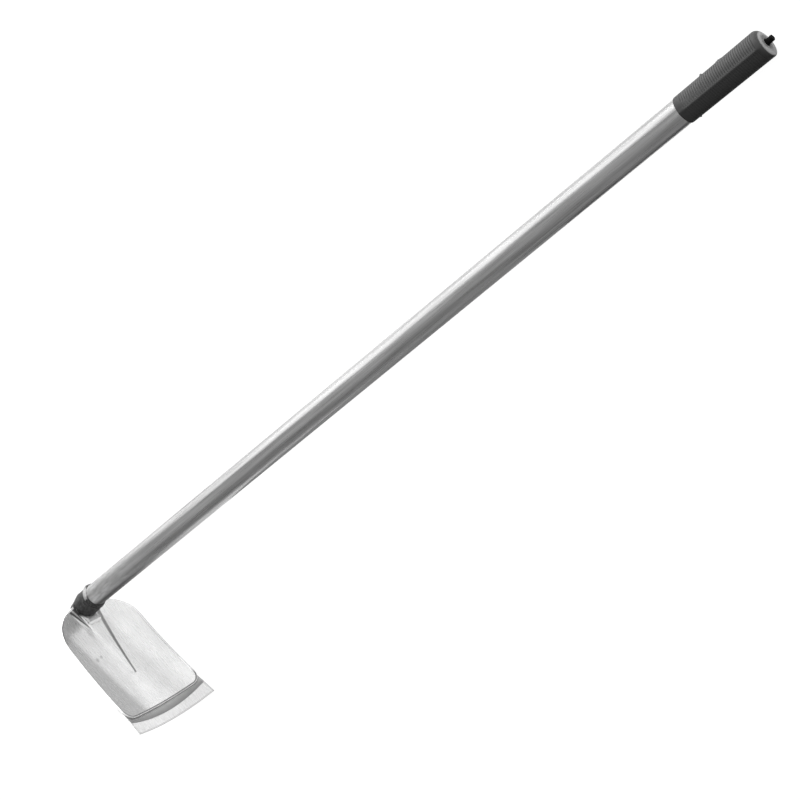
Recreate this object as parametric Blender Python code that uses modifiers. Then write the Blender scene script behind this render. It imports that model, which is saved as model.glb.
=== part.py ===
"""Weeding hoe: a pressed steel blade on a long steel tube with a ribbed rubber grip.

The hoe is modelled in its own frame and then laid on its side.
In that frame x runs down the blade from the neck to the cutting edge, y across the
blade, and z out of the blade's face towards the handle. The handle's centre line
starts at the origin and leans over the blade. All sizes are in metres.
"""

import math

import bmesh
import bpy
from mathutils import Matrix, Vector

# Handle tube
TUBE_DIAMETER = 0.030
TUBE_WALL = 0.0010
TUBE_LENGTH = 1.210
TUBE_START = 0.021
HANDLE_ANGLE = math.radians(78.05)

# Rubber grip, pressed over the upper end of the tube
GRIP_LENGTH = 0.1113
GRIP_WALL_LOW = 0.0007
GRIP_WALL_HIGH = 0.0013
GRIP_END_WALL = 0.0036
GRIP_CUFF = 0.0086
GRIP_CROWN = 0.007
GRIP_ROUNDING = 0.006
GRIP_GAP = 0.0001
RIB_PITCH = 0.0028
RIB_LAND = 0.0018
RIB_DEPTH = 0.0004

# Plastic plug in the top of the tube, its stub coming out through the grip
PLUG_DEPTH = 0.020
STUB_DIAMETER = 0.0080
STUB_REACH = 0.0079
STUB_ROUNDING = 0.0008

# Pressed sheet of the blade
SHEET_THICKNESS = 0.0025
BLADE_TOP = -0.003
SHOULDER_DEPTH = 0.053
WAIST_WIDTH = 0.1411
EDGE_WIDTH = 0.1503
SHEET_REACH = 0.1736
SHEET_CORNER = 0.0155
DISH_RADIUS = 0.261
BOW_RADIUS = 0.75
BOW_CENTRE = 0.095

# Raised triangular rib pressed into the sheet below the neck
RIB_FOOT_HALF_WIDTH = 0.0269
RIB_WALL_RUN = 0.0115
RIB_TIP_X = 0.118
RIB_TIP_HALF_WIDTH = 0.0045
RIB_TIP_WALL_RUN = 0.0042
RIB_HEIGHT = 0.0039
RIB_TIP_HEIGHT = 0.0011
RIB_TIP_ROUNDING = 0.005
RIB_BEND = 0.18

# Hardened strip lapped behind the sheet, with the cutting edge ground on it
STRIP_THICKNESS = 0.0025
STRIP_INSET = 0.0008
STRIP_FLARE = 0.0014
STRIP_LAP = 0.022
EDGE_SHOWING = 0.0248
BLADE_REACH = SHEET_REACH + EDGE_SHOWING
EDGE_BOW = 0.0018
EDGE_LAND = 0.0004
BEVEL_WIDTH_MIDDLE = 0.0125
BEVEL_WIDTH_SIDE = 0.0180
STRIP_WELD_RADIUS = 0.0016
STRIP_WELD_MARGIN = 0.006
STRIP_WELD_STEPS = 10
STRIP_WELD_TAPER = 0.5

# Black neck socket between the blade and the tube. Each station up its body is a
# distance below the rim, a share of the body's radius and a share of its shift.
SOCKET_RIM = 0.0365
SOCKET_WALL = 0.0018
SOCKET_BODY_RADIUS = 0.0176
SOCKET_SHIFT = 0.0018
SOCKET_HOOK = 0.005
SOCKET_FOOT_FORWARD = 0.0044
SOCKET_FOOT_SHARE = 0.96
SOCKET_HEEL = 0.019
SOCKET_STATIONS = ((SOCKET_HEEL, 1.0, 1.0), (0.010, 0.995, 1.0), (0.004, 0.965, 0.5))

# Weld beads round the tube and round the neck's foot
TUBE_WELD_HEIGHT = 0.0056
TUBE_WELD_LIP = 0.0012
TUBE_WELD_BULGE = 0.0032
TUBE_WELD_TOE = 0.0029
NECK_WELD_FRONT = 0.0066
NECK_WELD_SIDE = 0.0036
NECK_WELD_TAIL = 0.0016
NECK_WELD_SWEEP = math.radians(116)
NECK_WELD_STEPS = 22
WELD_STAND_OFF = 0.35
WELD_LIFT = 0.1

# Gaps between neighbours, and how finely the shapes are cut
SEAT_GAP = 0.0003
EDGE_LEAN = 0.0005
PRESS_GAP = 0.0003
SLICE = 0.0085
ROUND_SEGMENTS = 32

HANDLE_AXIS = Vector((math.cos(HANDLE_ANGLE), 0.0, math.sin(HANDLE_ANGLE)))


def clear_scene():
    for obj in list(bpy.data.objects):
        bpy.data.objects.remove(obj, do_unlink=True)


def new_collection(name):
    collection = bpy.data.collections.new(name)
    bpy.context.scene.collection.children.link(collection)
    return collection


def make_material(name, colour, roughness, metallic):
    material = bpy.data.materials.new(name)
    material.use_nodes = True
    shader = material.node_tree.nodes["Principled BSDF"]
    shader.inputs["Base Color"].default_value = (*colour, 1.0)
    shader.inputs["Roughness"].default_value = roughness
    shader.inputs["Metallic"].default_value = metallic
    return material


def add_object(name, mesh, collection, material=None):
    obj = bpy.data.objects.new(name, mesh)
    collection.objects.link(obj)
    if material:
        mesh.materials.append(material)
    return obj


def hide_as_cutter(obj):
    obj.hide_render = True
    obj.display_type = "WIRE"


def cut_away(obj, cutter):
    modifier = obj.modifiers.new("cut_" + cutter.name, "BOOLEAN")
    modifier.operation = "DIFFERENCE"
    modifier.solver = "EXACT"
    modifier.object = cutter


def smooth_round(obj, degrees=32):
    obj.data.shade_smooth()
    obj.data.set_sharp_from_angle(angle=math.radians(degrees))


def half_width(x):
    """Half the blade's width at x, on the straight sides below the shoulders."""
    shoulder_x = BLADE_TOP + SHOULDER_DEPTH
    share = (x - shoulder_x) / (BLADE_REACH - EDGE_BOW - shoulder_x)
    return (WAIST_WIDTH + (EDGE_WIDTH - WAIST_WIDTH) * share) / 2


def arc_height(distance, radius):
    return radius - math.sqrt(radius * radius - distance * distance)


def smooth_step(share):
    share = min(max(share, 0.0), 1.0)
    return share * share * (3.0 - 2.0 * share)


def bent_ramp(share):
    """A straight ramp from 0 to 1 with a round bend at each end."""
    share = min(max(share, 0.0), 1.0)
    if share > 0.5:
        return 1.0 - bent_ramp(1.0 - share)
    if share < RIB_BEND:
        return share * share / (2.0 * RIB_BEND * (1.0 - RIB_BEND))
    return (share - RIB_BEND / 2.0) / (1.0 - RIB_BEND)


def rib_lines(x):
    """Half-widths of the rib's crest and foot at x; both are straight lines in plan."""
    share = x / RIB_TIP_X
    foot = RIB_FOOT_HALF_WIDTH + (RIB_TIP_HALF_WIDTH - RIB_FOOT_HALF_WIDTH) * share
    run = RIB_WALL_RUN + (RIB_TIP_WALL_RUN - RIB_WALL_RUN) * share
    return foot - run, foot


def rib_height(x, y):
    crest, foot = rib_lines(min(x, RIB_TIP_X))
    share = min(max(x / RIB_TIP_X, 0.0), 1.0)
    height = RIB_HEIGHT + (RIB_TIP_HEIGHT - RIB_HEIGHT) * share
    fade = 1.0 - smooth_step((x - RIB_TIP_X + RIB_TIP_ROUNDING) / RIB_TIP_ROUNDING)
    wall = 1.0 - bent_ramp((abs(y) - crest) / (foot - crest))
    return height * fade * wall


def plain_height(x, y):
    """The sheet's face without its rib: dished across and bowed along its length."""
    return arc_height(y, DISH_RADIUS) + arc_height(x - BOW_CENTRE, BOW_RADIUS)


def face_height(x, y):
    return plain_height(x, y) + rib_height(x, y)


def arc_points(centre, radii, start, end, count):
    points = []
    for i in range(count + 1):
        angle = math.radians(start + (end - start) * i / count)
        points.append((centre[0] + radii[0] * math.cos(angle),
                       centre[1] + radii[1] * math.sin(angle)))
    return points


def mirrored(points):
    """Close an outline: its +y half, and the same half mirrored back along -y."""
    return points + [(x, -y) for x, y in reversed(points) if abs(y) > 1e-6]


def shoulder_points(grow=0.0):
    centre = (BLADE_TOP + SHOULDER_DEPTH, 0.0)
    radii = (SHOULDER_DEPTH + grow, WAIST_WIDTH / 2 + grow)
    return arc_points(centre, radii, 180, 90, 14)


def sheet_outline():
    side = half_width(SHEET_REACH - SHEET_CORNER)
    corner = (SHEET_REACH - SHEET_CORNER, side - SHEET_CORNER)
    front = arc_points(corner, (SHEET_CORNER, SHEET_CORNER), 90, 0, 5)
    return mirrored(shoulder_points() + front)


def neck_outline():
    """The upper part of the sheet's outline, larger by a seat gap and its edge's lean."""
    end = BLADE_TOP + SHOULDER_DEPTH + RIB_FOOT_HALF_WIDTH
    return mirrored(shoulder_points(SEAT_GAP + EDGE_LEAN) + [(end, half_width(end))])


def strip_outline():
    back = SHEET_REACH - STRIP_LAP
    front = BLADE_REACH - EDGE_BOW
    side = half_width(front) + STRIP_FLARE
    points = [(back, half_width(back) - STRIP_INSET), (front, side)]
    for share in (0.75, 0.5, 0.25):
        points.append((BLADE_REACH - EDGE_BOW * share ** 2, side * share))
    points.append((BLADE_REACH, 0.0))
    return mirrored(points)


def rib_slices():
    """Cuts that follow the rib's crest, wall and foot, so that its bends stay crisp."""
    slices = []
    for share in (0.0, RIB_BEND / 2, RIB_BEND, 1.0 - RIB_BEND, 1.0 - RIB_BEND / 2, 1.0):
        ends = []
        for x in (0.0, RIB_TIP_X):
            crest, foot = rib_lines(x)
            ends.append(Vector((x, crest + (foot - crest) * share, 0.0)))
        run = ends[1] - ends[0]
        for side in (1, -1):
            point = Vector((ends[0].x, side * ends[0].y, 0.0))
            slices.append((point, Vector((-side * run.y, run.x, 0.0)).normalized()))
    for step in (0.25, 0.5, 0.75, 1.0):
        slices.append((Vector((RIB_TIP_X - RIB_TIP_ROUNDING * step, 0, 0)), Vector((1, 0, 0))))
    return slices


def even_slices(x_start, x_end, reach):
    slices = []
    rows = math.ceil((x_end - x_start) / SLICE)
    for i in range(1, rows):
        x = x_start + (x_end - x_start) * i / rows
        slices.append((Vector((x, 0, 0)), Vector((1, 0, 0))))
    columns = math.ceil(reach / SLICE)
    for i in range(-columns + 1, columns):
        slices.append((Vector((0, reach * i / columns, 0)), Vector((0, 1, 0))))
    return slices


def pressed_face(outline, slices, height):
    """A flat outline sliced into small faces and pressed to a height function."""
    bm = bmesh.new()
    bm.faces.new([bm.verts.new((x, y, 0.0)) for x, y in outline])
    for point, normal in slices:
        geometry = bm.verts[:] + bm.edges[:] + bm.faces[:]
        bmesh.ops.bisect_plane(bm, geom=geometry, dist=1e-6, plane_co=point, plane_no=normal)
    bmesh.ops.remove_doubles(bm, verts=bm.verts[:], dist=0.0002)
    bmesh.ops.triangulate(bm, faces=[f for f in bm.faces if len(f.verts) > 4])
    for vert in bm.verts:
        vert.co.z = height(vert.co.x, vert.co.y)
    bmesh.ops.recalc_face_normals(bm, faces=bm.faces[:])
    if sum(face.normal.z for face in bm.faces) < 0:
        bmesh.ops.reverse_faces(bm, faces=bm.faces[:])
    return bm


def face_to_mesh(bm, name):
    mesh = bpy.data.meshes.new(name)
    bm.to_mesh(mesh)
    bm.free()
    return mesh


def pressed_block(outline, slices, height, floor):
    """A solid under (or over) a pressed face, reaching to a flat floor."""
    bm = pressed_face(outline, slices, height)
    top = bm.faces[:]
    sides = bmesh.ops.extrude_face_region(bm, geom=top, use_keep_orig=True)
    for item in sides["geom"]:
        if isinstance(item, bmesh.types.BMVert):
            item.co.z = floor
    bmesh.ops.recalc_face_normals(bm, faces=bm.faces[:])
    return bm


def build_sheet(collection, material):
    bm = pressed_face(sheet_outline(), rib_slices() + even_slices(BLADE_TOP, SHEET_REACH,
                      EDGE_WIDTH / 2), face_height)
    sheet = add_object("blade_sheet", face_to_mesh(bm, "blade_sheet"), collection, material)
    solid = sheet.modifiers.new("thickness", "SOLIDIFY")
    solid.thickness = SHEET_THICKNESS
    solid.offset = -1
    smooth_round(sheet)
    return sheet


def strip_face(x, y):
    """The strip's upper face lies a seat gap under the back of the sheet."""
    return plain_height(x, y) - SHEET_THICKNESS - SEAT_GAP


def bevel_face(x, y):
    """The ground bevel: it falls to a thin land along the cutting edge."""
    share = y / (EDGE_WIDTH / 2)
    width = BEVEL_WIDTH_MIDDLE + (BEVEL_WIDTH_SIDE - BEVEL_WIDTH_MIDDLE) * share ** 2
    rise = (BLADE_REACH - EDGE_BOW * share ** 2 - x) / width
    low = strip_face(x, y) - STRIP_THICKNESS + EDGE_LAND
    return low + (STRIP_THICKNESS - EDGE_LAND) * rise


def build_strip(collection, cutters, material):
    back = SHEET_REACH - STRIP_LAP
    slices = even_slices(back, BLADE_REACH, EDGE_WIDTH / 2)
    bm = pressed_face(strip_outline(), slices, strip_face)
    strip = add_object("edge_strip", face_to_mesh(bm, "edge_strip"), collection, material)
    solid = strip.modifiers.new("thickness", "SOLIDIFY")
    solid.thickness = STRIP_THICKNESS
    solid.offset = -1

    start = BLADE_REACH - BEVEL_WIDTH_SIDE - EDGE_BOW - SLICE / 2
    end = BLADE_REACH + SLICE
    reach = EDGE_WIDTH / 2 + SLICE
    outline = [(start, reach), (end, reach), (end, -reach), (start, -reach)]
    wheel = pressed_block(outline, even_slices(start, end, reach), bevel_face,
                          plain_height(end, reach) + SLICE)
    grinder = add_object("bevel_grinder", face_to_mesh(wheel, "bevel_grinder"), cutters)
    hide_as_cutter(grinder)
    cut_away(strip, grinder)
    smooth_round(strip, 4)
    return strip


def curve_to_mesh(name, points, radii, resolution, collection):
    """A round rod along points with its own radius at each, as a closed mesh."""
    curve = bpy.data.curves.new(name, "CURVE")
    curve.dimensions = "3D"
    curve.bevel_depth = 1.0
    curve.bevel_resolution = resolution
    curve.use_fill_caps = True
    spline = curve.splines.new("POLY")
    spline.points.add(len(points) - 1)
    for spot, point, radius in zip(spline.points, points, radii):
        spot.co = (*point, 1.0)
        spot.radius = radius
    guide = bpy.data.objects.new(name + "_curve", curve)
    collection.objects.link(guide)
    depsgraph = bpy.context.evaluated_depsgraph_get()
    mesh = bpy.data.meshes.new_from_object(guide.evaluated_get(depsgraph))
    mesh.name = name
    bpy.data.objects.remove(guide, do_unlink=True)
    bm = bmesh.new()
    bm.from_mesh(mesh)
    bmesh.ops.remove_doubles(bm, verts=bm.verts[:], dist=1e-6)
    bmesh.ops.recalc_face_normals(bm, faces=bm.faces[:])
    bm.to_mesh(mesh)
    bm.free()
    mesh.materials.clear()
    return mesh


def build_strip_weld(collection, material):
    """A fillet bead along the strip's upper edge, in the corner behind the sheet."""
    x = SHEET_REACH - STRIP_LAP - SEAT_GAP - STRIP_WELD_RADIUS
    reach = half_width(x) - STRIP_WELD_MARGIN
    points = []
    radii = []
    for i in range(-STRIP_WELD_STEPS, STRIP_WELD_STEPS + 1):
        y = reach * i / STRIP_WELD_STEPS
        drop = SHEET_THICKNESS + SEAT_GAP + STRIP_WELD_RADIUS
        points.append((x, y, plain_height(x, y) - drop))
        taper = STRIP_WELD_TAPER if abs(i) == STRIP_WELD_STEPS else 1.0
        radii.append(STRIP_WELD_RADIUS * taper)
    mesh = curve_to_mesh("strip_weld", points, radii, 2, collection)
    weld = add_object("strip_weld", mesh, collection, material)
    smooth_round(weld, 50)


def along_handle(distance, forward=0.0):
    """A point on the handle's axis, moved forward square to it if asked."""
    square = Vector((math.sin(HANDLE_ANGLE), 0.0, -math.cos(HANDLE_ANGLE)))
    return HANDLE_AXIS * distance + square * forward


def socket_stations(grow=0.0, extend=0.0):
    """Centres and radii up the neck, from its hook behind the sheet to its rim."""
    foot = plain_height(0.0, 0.0)
    bottom = foot - SOCKET_HOOK - SHEET_THICKNESS - extend
    points = [Vector((SOCKET_FOOT_FORWARD, 0.0, height)) for height in (bottom, foot)]
    radii = [SOCKET_BODY_RADIUS * SOCKET_FOOT_SHARE] * 2
    for drop, share, shift in SOCKET_STATIONS:
        points.append(along_handle(SOCKET_RIM - drop, SOCKET_SHIFT * shift))
        radii.append(SOCKET_BODY_RADIUS * share)
    points.append(along_handle(SOCKET_RIM + extend, SOCKET_SHIFT * shift))
    radii.append(TUBE_DIAMETER / 2 + PRESS_GAP + SOCKET_WALL)
    return points, [radius + grow for radius in radii]


def place_on_handle(obj, distance):
    obj.rotation_euler = (0.0, math.pi / 2 - HANDLE_ANGLE, 0.0)
    obj.location = HANDLE_AXIS * distance


def add_cylinder(name, radius, depth, collection):
    bm = bmesh.new()
    bmesh.ops.create_cone(bm, cap_ends=True, segments=ROUND_SEGMENTS, radius1=radius,
                          radius2=radius, depth=depth)
    return add_object(name, face_to_mesh(bm, name), collection)


def build_sheet_space(cutters):
    """The room that the upper part of the sheet takes, with a seat gap over it."""
    slices = rib_slices() + even_slices(BLADE_TOP, SHEET_REACH, EDGE_WIDTH / 2)
    bm = pressed_block(neck_outline(), slices, lambda x, y: face_height(x, y) + SEAT_GAP,
                       -SOCKET_HOOK - SHEET_THICKNESS - SLICE)
    space = add_object("sheet_space", face_to_mesh(bm, "sheet_space"), cutters)
    hide_as_cutter(space)
    return space


def build_socket(collection, cutters, sheet_space, material):
    points, radii = socket_stations()
    mesh = curve_to_mesh("neck_socket", points, radii, 6, collection)
    socket = add_object("neck_socket", mesh, collection, material)
    depth = SOCKET_RIM - TUBE_START + SEAT_GAP
    bore = add_cylinder("tube_space", TUBE_DIAMETER / 2 + PRESS_GAP, depth * 2, cutters)
    place_on_handle(bore, TUBE_START - SEAT_GAP + depth)
    hide_as_cutter(bore)
    cut_away(socket, bore)
    cut_away(socket, sheet_space)
    smooth_round(socket, 40)
    return socket


def build_neck_weld(collection, cutters, sheet_space, material):
    """The bead that ties the neck to the sheet: heavy in front, thin at its ends."""
    centre = along_handle(SOCKET_RIM - SOCKET_HEEL, SOCKET_SHIFT)
    points = []
    sizes = []
    for i in range(NECK_WELD_STEPS + 1):
        angle = NECK_WELD_SWEEP * (2 * i / NECK_WELD_STEPS - 1)
        front = max(math.cos(angle), 0.0) ** 2
        size = NECK_WELD_SIDE + (NECK_WELD_FRONT - NECK_WELD_SIDE) * front
        if i in (0, NECK_WELD_STEPS):
            size = NECK_WELD_TAIL
        reach = SOCKET_BODY_RADIUS + size * WELD_STAND_OFF
        x = centre.x + reach * math.cos(angle)
        y = reach * math.sin(angle)
        points.append((x, y, face_height(x, y) + size * WELD_LIFT))
        sizes.append(size)
    mesh = curve_to_mesh("neck_weld", points, sizes, 2, collection)
    weld = add_object("neck_weld", mesh, collection, material)
    points, radii = socket_stations(SEAT_GAP, SLICE)
    space = add_object("socket_space", curve_to_mesh("socket_space", points, radii, 6, cutters),
                       cutters)
    hide_as_cutter(space)
    cut_away(weld, space)
    cut_away(weld, sheet_space)
    smooth_round(weld, 50)
    return weld


def turned(name, profile, segments, collection, material, closed=True):
    """A profile of (radius, height) points turned about the local z axis."""
    bm = bmesh.new()
    verts = [bm.verts.new((radius, 0.0, height)) for radius, height in profile]
    for first, second in zip(verts, verts[1:]):
        bm.edges.new((first, second))
    if closed:
        bm.edges.new((verts[-1], verts[0]))
    obj = add_object(name, face_to_mesh(bm, name), collection, material)
    screw = obj.modifiers.new("turn", "SCREW")
    screw.steps = segments
    screw.render_steps = segments
    screw.use_merge_vertices = True
    screw.merge_threshold = 0.00001
    screw.use_smooth_shade = False
    return obj


def build_tube_weld(collection, material):
    inner = TUBE_DIAMETER / 2 + PRESS_GAP
    rise = TUBE_WELD_HEIGHT - TUBE_WELD_LIP
    profile = [(inner, TUBE_WELD_HEIGHT)]
    for angle in (72, 54, 36, 18, 0):
        turn = math.radians(angle)
        profile.append((inner + TUBE_WELD_BULGE * math.cos(turn),
                        TUBE_WELD_LIP + rise * math.sin(turn)))
    profile.append((inner + TUBE_WELD_TOE, SEAT_GAP))
    profile.append((inner, SEAT_GAP))
    weld = turned("tube_weld", profile, ROUND_SEGMENTS, collection, material)
    place_on_handle(weld, SOCKET_RIM)


def build_tube(collection, material):
    outer = TUBE_DIAMETER / 2
    inner = outer - TUBE_WALL
    profile = [(outer, TUBE_LENGTH), (outer, 0.0), (inner, 0.0), (inner, TUBE_LENGTH)]
    tube = turned("handle_tube", profile, ROUND_SEGMENTS, collection, material)
    place_on_handle(tube, TUBE_START)


def grip_radius(distance):
    """The grip's outer radius, which swells slowly from its cuff to its crown."""
    share = distance / GRIP_LENGTH
    wall = GRIP_WALL_LOW + (GRIP_WALL_HIGH - GRIP_WALL_LOW) * share
    return TUBE_DIAMETER / 2 + GRIP_GAP + wall


def grip_profile():
    bore = TUBE_DIAMETER / 2 + GRIP_GAP
    hole = STUB_DIAMETER / 2 + GRIP_GAP
    top = GRIP_LENGTH
    profile = [(hole, top)]
    for angle in (90, 45, 0):
        turn = math.radians(angle)
        profile.append((grip_radius(top) - GRIP_ROUNDING * (1 - math.cos(turn)),
                        top - GRIP_ROUNDING * (1 - math.sin(turn))))
    count = int((GRIP_LENGTH - GRIP_CUFF - GRIP_CROWN) / RIB_PITCH)
    start = GRIP_CUFF + (GRIP_LENGTH - GRIP_CUFF - GRIP_CROWN - count * RIB_PITCH) / 2
    for i in reversed(range(count)):
        low = start + i * RIB_PITCH
        groove = (RIB_PITCH - RIB_LAND) / 2
        profile.append((grip_radius(low + RIB_PITCH) - RIB_DEPTH, low + RIB_PITCH))
        profile.append((grip_radius(low), low + RIB_PITCH - groove))
        profile.append((grip_radius(low), low + groove))
    profile.append((grip_radius(start) - RIB_DEPTH, start))
    profile.append((grip_radius(start), start - RIB_DEPTH))
    profile.append((grip_radius(0.0), GRIP_WALL_LOW / 2))
    profile.append((grip_radius(0.0) - GRIP_WALL_LOW / 2, 0.0))
    profile.append((bore, 0.0))
    profile.append((bore, top - GRIP_END_WALL))
    profile.append((hole, top - GRIP_END_WALL))
    return profile


def build_grip(collection, material):
    grip = turned("rubber_grip", grip_profile(), ROUND_SEGMENTS, collection, material)
    place_on_handle(grip, TUBE_START + TUBE_LENGTH + SEAT_GAP + GRIP_END_WALL - GRIP_LENGTH)
    return grip


def build_plug(collection, material):
    body = TUBE_DIAMETER / 2 - TUBE_WALL - PRESS_GAP
    stub = STUB_DIAMETER / 2
    top = GRIP_END_WALL + SEAT_GAP + STUB_REACH
    soft = STUB_ROUNDING
    profile = [(0.0, top), (stub - soft, top), (stub, top - soft), (stub, 0.0), (body, 0.0),
               (body, -PLUG_DEPTH + soft), (body - soft, -PLUG_DEPTH), (0.0, -PLUG_DEPTH)]
    plug = turned("end_plug", profile, ROUND_SEGMENTS, collection, material, closed=False)
    place_on_handle(plug, TUBE_START + TUBE_LENGTH)


def resting_frame():
    """Axes of the floor under the hoe lying on its side, as seen from its own frame.

    It rests on three spots: the front end of the blade's side, the shoulder's widest
    part and the rim of the grip. Each turn of the loop finds the spots again for the
    floor found before it.
    """
    down = Vector((0.0, 1.0, 0.0))
    side_x = SHEET_REACH - SHEET_CORNER
    side_y = half_width(side_x)
    edge_x = BLADE_REACH - EDGE_BOW
    edge_y = half_width(edge_x) + STRIP_FLARE
    corners = [Vector((side_x, side_y, plain_height(side_x, side_y))),
               Vector((edge_x, edge_y, strip_face(edge_x, edge_y)))]
    grip_top = TUBE_START + TUBE_LENGTH + SEAT_GAP + GRIP_END_WALL - GRIP_ROUNDING
    for _ in range(8):
        corner = max(corners, key=down.dot)
        shoulder = max((Vector((x, y, plain_height(x, y))) for x, y in shoulder_points()),
                       key=down.dot)
        around = (down - HANDLE_AXIS * down.dot(HANDLE_AXIS)).normalized()
        grip = HANDLE_AXIS * grip_top + around * grip_radius(GRIP_LENGTH)
        down = (corner - shoulder).cross(grip - shoulder).normalized()
        if down.y < 0:
            down.negate()
    up = -down
    along = (HANDLE_AXIS - up * HANDLE_AXIS.dot(up)).normalized()
    return along, up.cross(along), up


def lay_down(parts):
    """Lay the hoe on its side, centred over the origin with its lowest point at z = 0."""
    stance = bpy.data.objects.new("stance", None)
    bpy.context.scene.collection.objects.link(stance)
    for obj in parts:
        obj.parent = stance
    turn = Matrix(resting_frame()).to_4x4()
    stance.matrix_world = turn
    bpy.context.view_layer.update()
    depsgraph = bpy.context.evaluated_depsgraph_get()
    corners = []
    for obj in parts:
        if obj.hide_render:
            continue
        solid = obj.evaluated_get(depsgraph)
        corners += [obj.matrix_world @ vert.co for vert in solid.data.vertices]
    low = [min(corner[i] for corner in corners) for i in range(3)]
    high = [max(corner[i] for corner in corners) for i in range(3)]
    middle = Vector(((low[0] + high[0]) / 2, (low[1] + high[1]) / 2, low[2]))
    stance.matrix_world = Matrix.Translation(-middle) @ turn


def main():
    clear_scene()
    hoe = new_collection("weeding_hoe")
    cutters = new_collection("cutters")

    polished = make_material("polished_steel", (0.62, 0.62, 0.62), 0.28, 1.0)
    ground = make_material("hardened_steel", (0.45, 0.45, 0.45), 0.35, 1.0)
    brushed = make_material("brushed_tube_steel", (0.55, 0.55, 0.55), 0.35, 1.0)
    blackened = make_material("blackened_iron", (0.035, 0.034, 0.033), 0.6, 0.6)
    bead = make_material("weld_metal", (0.40, 0.40, 0.39), 0.45, 0.9)
    rubber = make_material("dark_rubber", (0.035, 0.035, 0.036), 0.75, 0.0)
    plastic = make_material("black_plastic", (0.008, 0.008, 0.008), 0.6, 0.0)

    build_sheet(hoe, polished)
    build_strip(hoe, cutters, ground)
    build_strip_weld(hoe, bead)
    sheet_space = build_sheet_space(cutters)
    build_socket(hoe, cutters, sheet_space, blackened)
    build_neck_weld(hoe, cutters, sheet_space, bead)
    build_tube_weld(hoe, bead)
    build_tube(hoe, brushed)
    build_grip(hoe, rubber)
    build_plug(hoe, plastic)
    lay_down(list(hoe.objects) + list(cutters.objects))


main()
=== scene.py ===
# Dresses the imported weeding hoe: blade, edge strip, welds, neck, tube, grip and plug.
import math
import bmesh
import bpy
import numpy as np
from mathutils import Matrix, Vector, noise


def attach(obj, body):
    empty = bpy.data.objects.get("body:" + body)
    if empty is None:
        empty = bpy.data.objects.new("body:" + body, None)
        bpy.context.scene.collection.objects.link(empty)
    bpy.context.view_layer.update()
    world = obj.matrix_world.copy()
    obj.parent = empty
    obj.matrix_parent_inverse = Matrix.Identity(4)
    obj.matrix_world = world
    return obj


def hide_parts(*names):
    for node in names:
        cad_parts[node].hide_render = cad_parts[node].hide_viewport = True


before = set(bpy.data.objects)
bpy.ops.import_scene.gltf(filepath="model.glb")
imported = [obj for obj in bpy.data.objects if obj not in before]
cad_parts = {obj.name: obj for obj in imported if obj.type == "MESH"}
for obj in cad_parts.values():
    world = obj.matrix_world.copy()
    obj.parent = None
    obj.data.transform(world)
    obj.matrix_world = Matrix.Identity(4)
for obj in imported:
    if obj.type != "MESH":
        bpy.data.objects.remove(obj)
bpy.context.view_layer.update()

print("hoe loaded:", len(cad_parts), "nodes")

# The hoe's own axes as they lie on the floor. All pieces are made in these axes:
# x down the blade from the neck, y across it, z out of its face towards the handle
hoePlace = {
    "downBlade": (0.209061, -0.97698, 0.042458),
    "acrossBlade": (-0.042632, -0.052482, -0.997711),
    "outOfFace": (0.976973, 0.206772, -0.052623),
    "neckPoint": (-0.618879, 0.088149, 0.069387),
    "handleAngle": 78.05,  # degrees between the blade and the handle
}
hoeTurn = np.array((hoePlace["downBlade"], hoePlace["acrossBlade"], hoePlace["outOfFace"])).T
hoeStart = np.array(hoePlace["neckPoint"])
handleTilt = math.radians(hoePlace["handleAngle"])
handleLine = np.array((math.cos(handleTilt), 0.0, math.sin(handleTilt)))
handleFront = np.array((math.sin(handleTilt), 0.0, -math.cos(handleTilt)))  # over the blade
handleSide = np.array((0.0, 1.0, 0.0))

def fromHoe(points):
    # from the hoe's own axes to the floor's
    return np.asarray(points).reshape(-1, 3) @ hoeTurn.T + hoeStart

def unit(vectors):
    return vectors / np.maximum(np.linalg.norm(vectors, axis=-1, keepdims=True), 1e-12)

def smoothStep(value):
    value = np.clip(value, 0.0, 1.0)
    return value * value * (3.0 - 2.0 * value)

def lumps(points, size, seed=0.0):
    # slow uneven lumps between about -1 and 1, sampled at points, size in metres
    flat = np.asarray(points).reshape(-1, 3) / size
    values = [noise.noise(Vector((p[0] + seed, p[1] - seed, p[2] + 2 * seed))) for p in flat]
    return np.array(values).reshape(np.asarray(points).shape[:-1])

def gridQuads(rows, columns, wrap=False):
    # quads over rows x columns vertices, wrapped in the column direction if asked
    last = columns if wrap else columns - 1
    row, column = np.meshgrid(np.arange(rows - 1), np.arange(last), indexing="ij")
    after = (column + 1) % columns
    quads = np.stack((row * columns + column, row * columns + after,
                      (row + 1) * columns + after, (row + 1) * columns + column), axis=-1)
    return quads.reshape(-1, 4).tolist()

def rimLoop(rows, columns):
    # the vertices round the rim of a grid, in order
    last = (rows - 1) * columns
    return ([c for c in range(columns - 1)]
            + [r * columns + columns - 1 for r in range(rows - 1)]
            + [last + c for c in range(columns - 1, 0, -1)]
            + [r * columns for r in range(rows - 1, 0, -1)])

def makePiece(name, points, faces, material, sharpAngle=40):
    mesh = bpy.data.meshes.new(name)
    mesh.from_pydata(fromHoe(points).tolist(), [], faces)
    mesh.validate()
    mesh.shade_smooth()
    mesh.materials.append(material)
    # turns the faces so that every normal points out of the metal
    shape = bmesh.new()
    shape.from_mesh(mesh)
    bmesh.ops.recalc_face_normals(shape, faces=shape.faces[:])
    shape.to_mesh(mesh)
    shape.free()
    mesh.set_sharp_from_angle(angle=math.radians(sharpAngle))
    piece = bpy.data.objects.new(name, mesh)
    bpy.context.scene.collection.objects.link(piece)
    return piece

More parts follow.
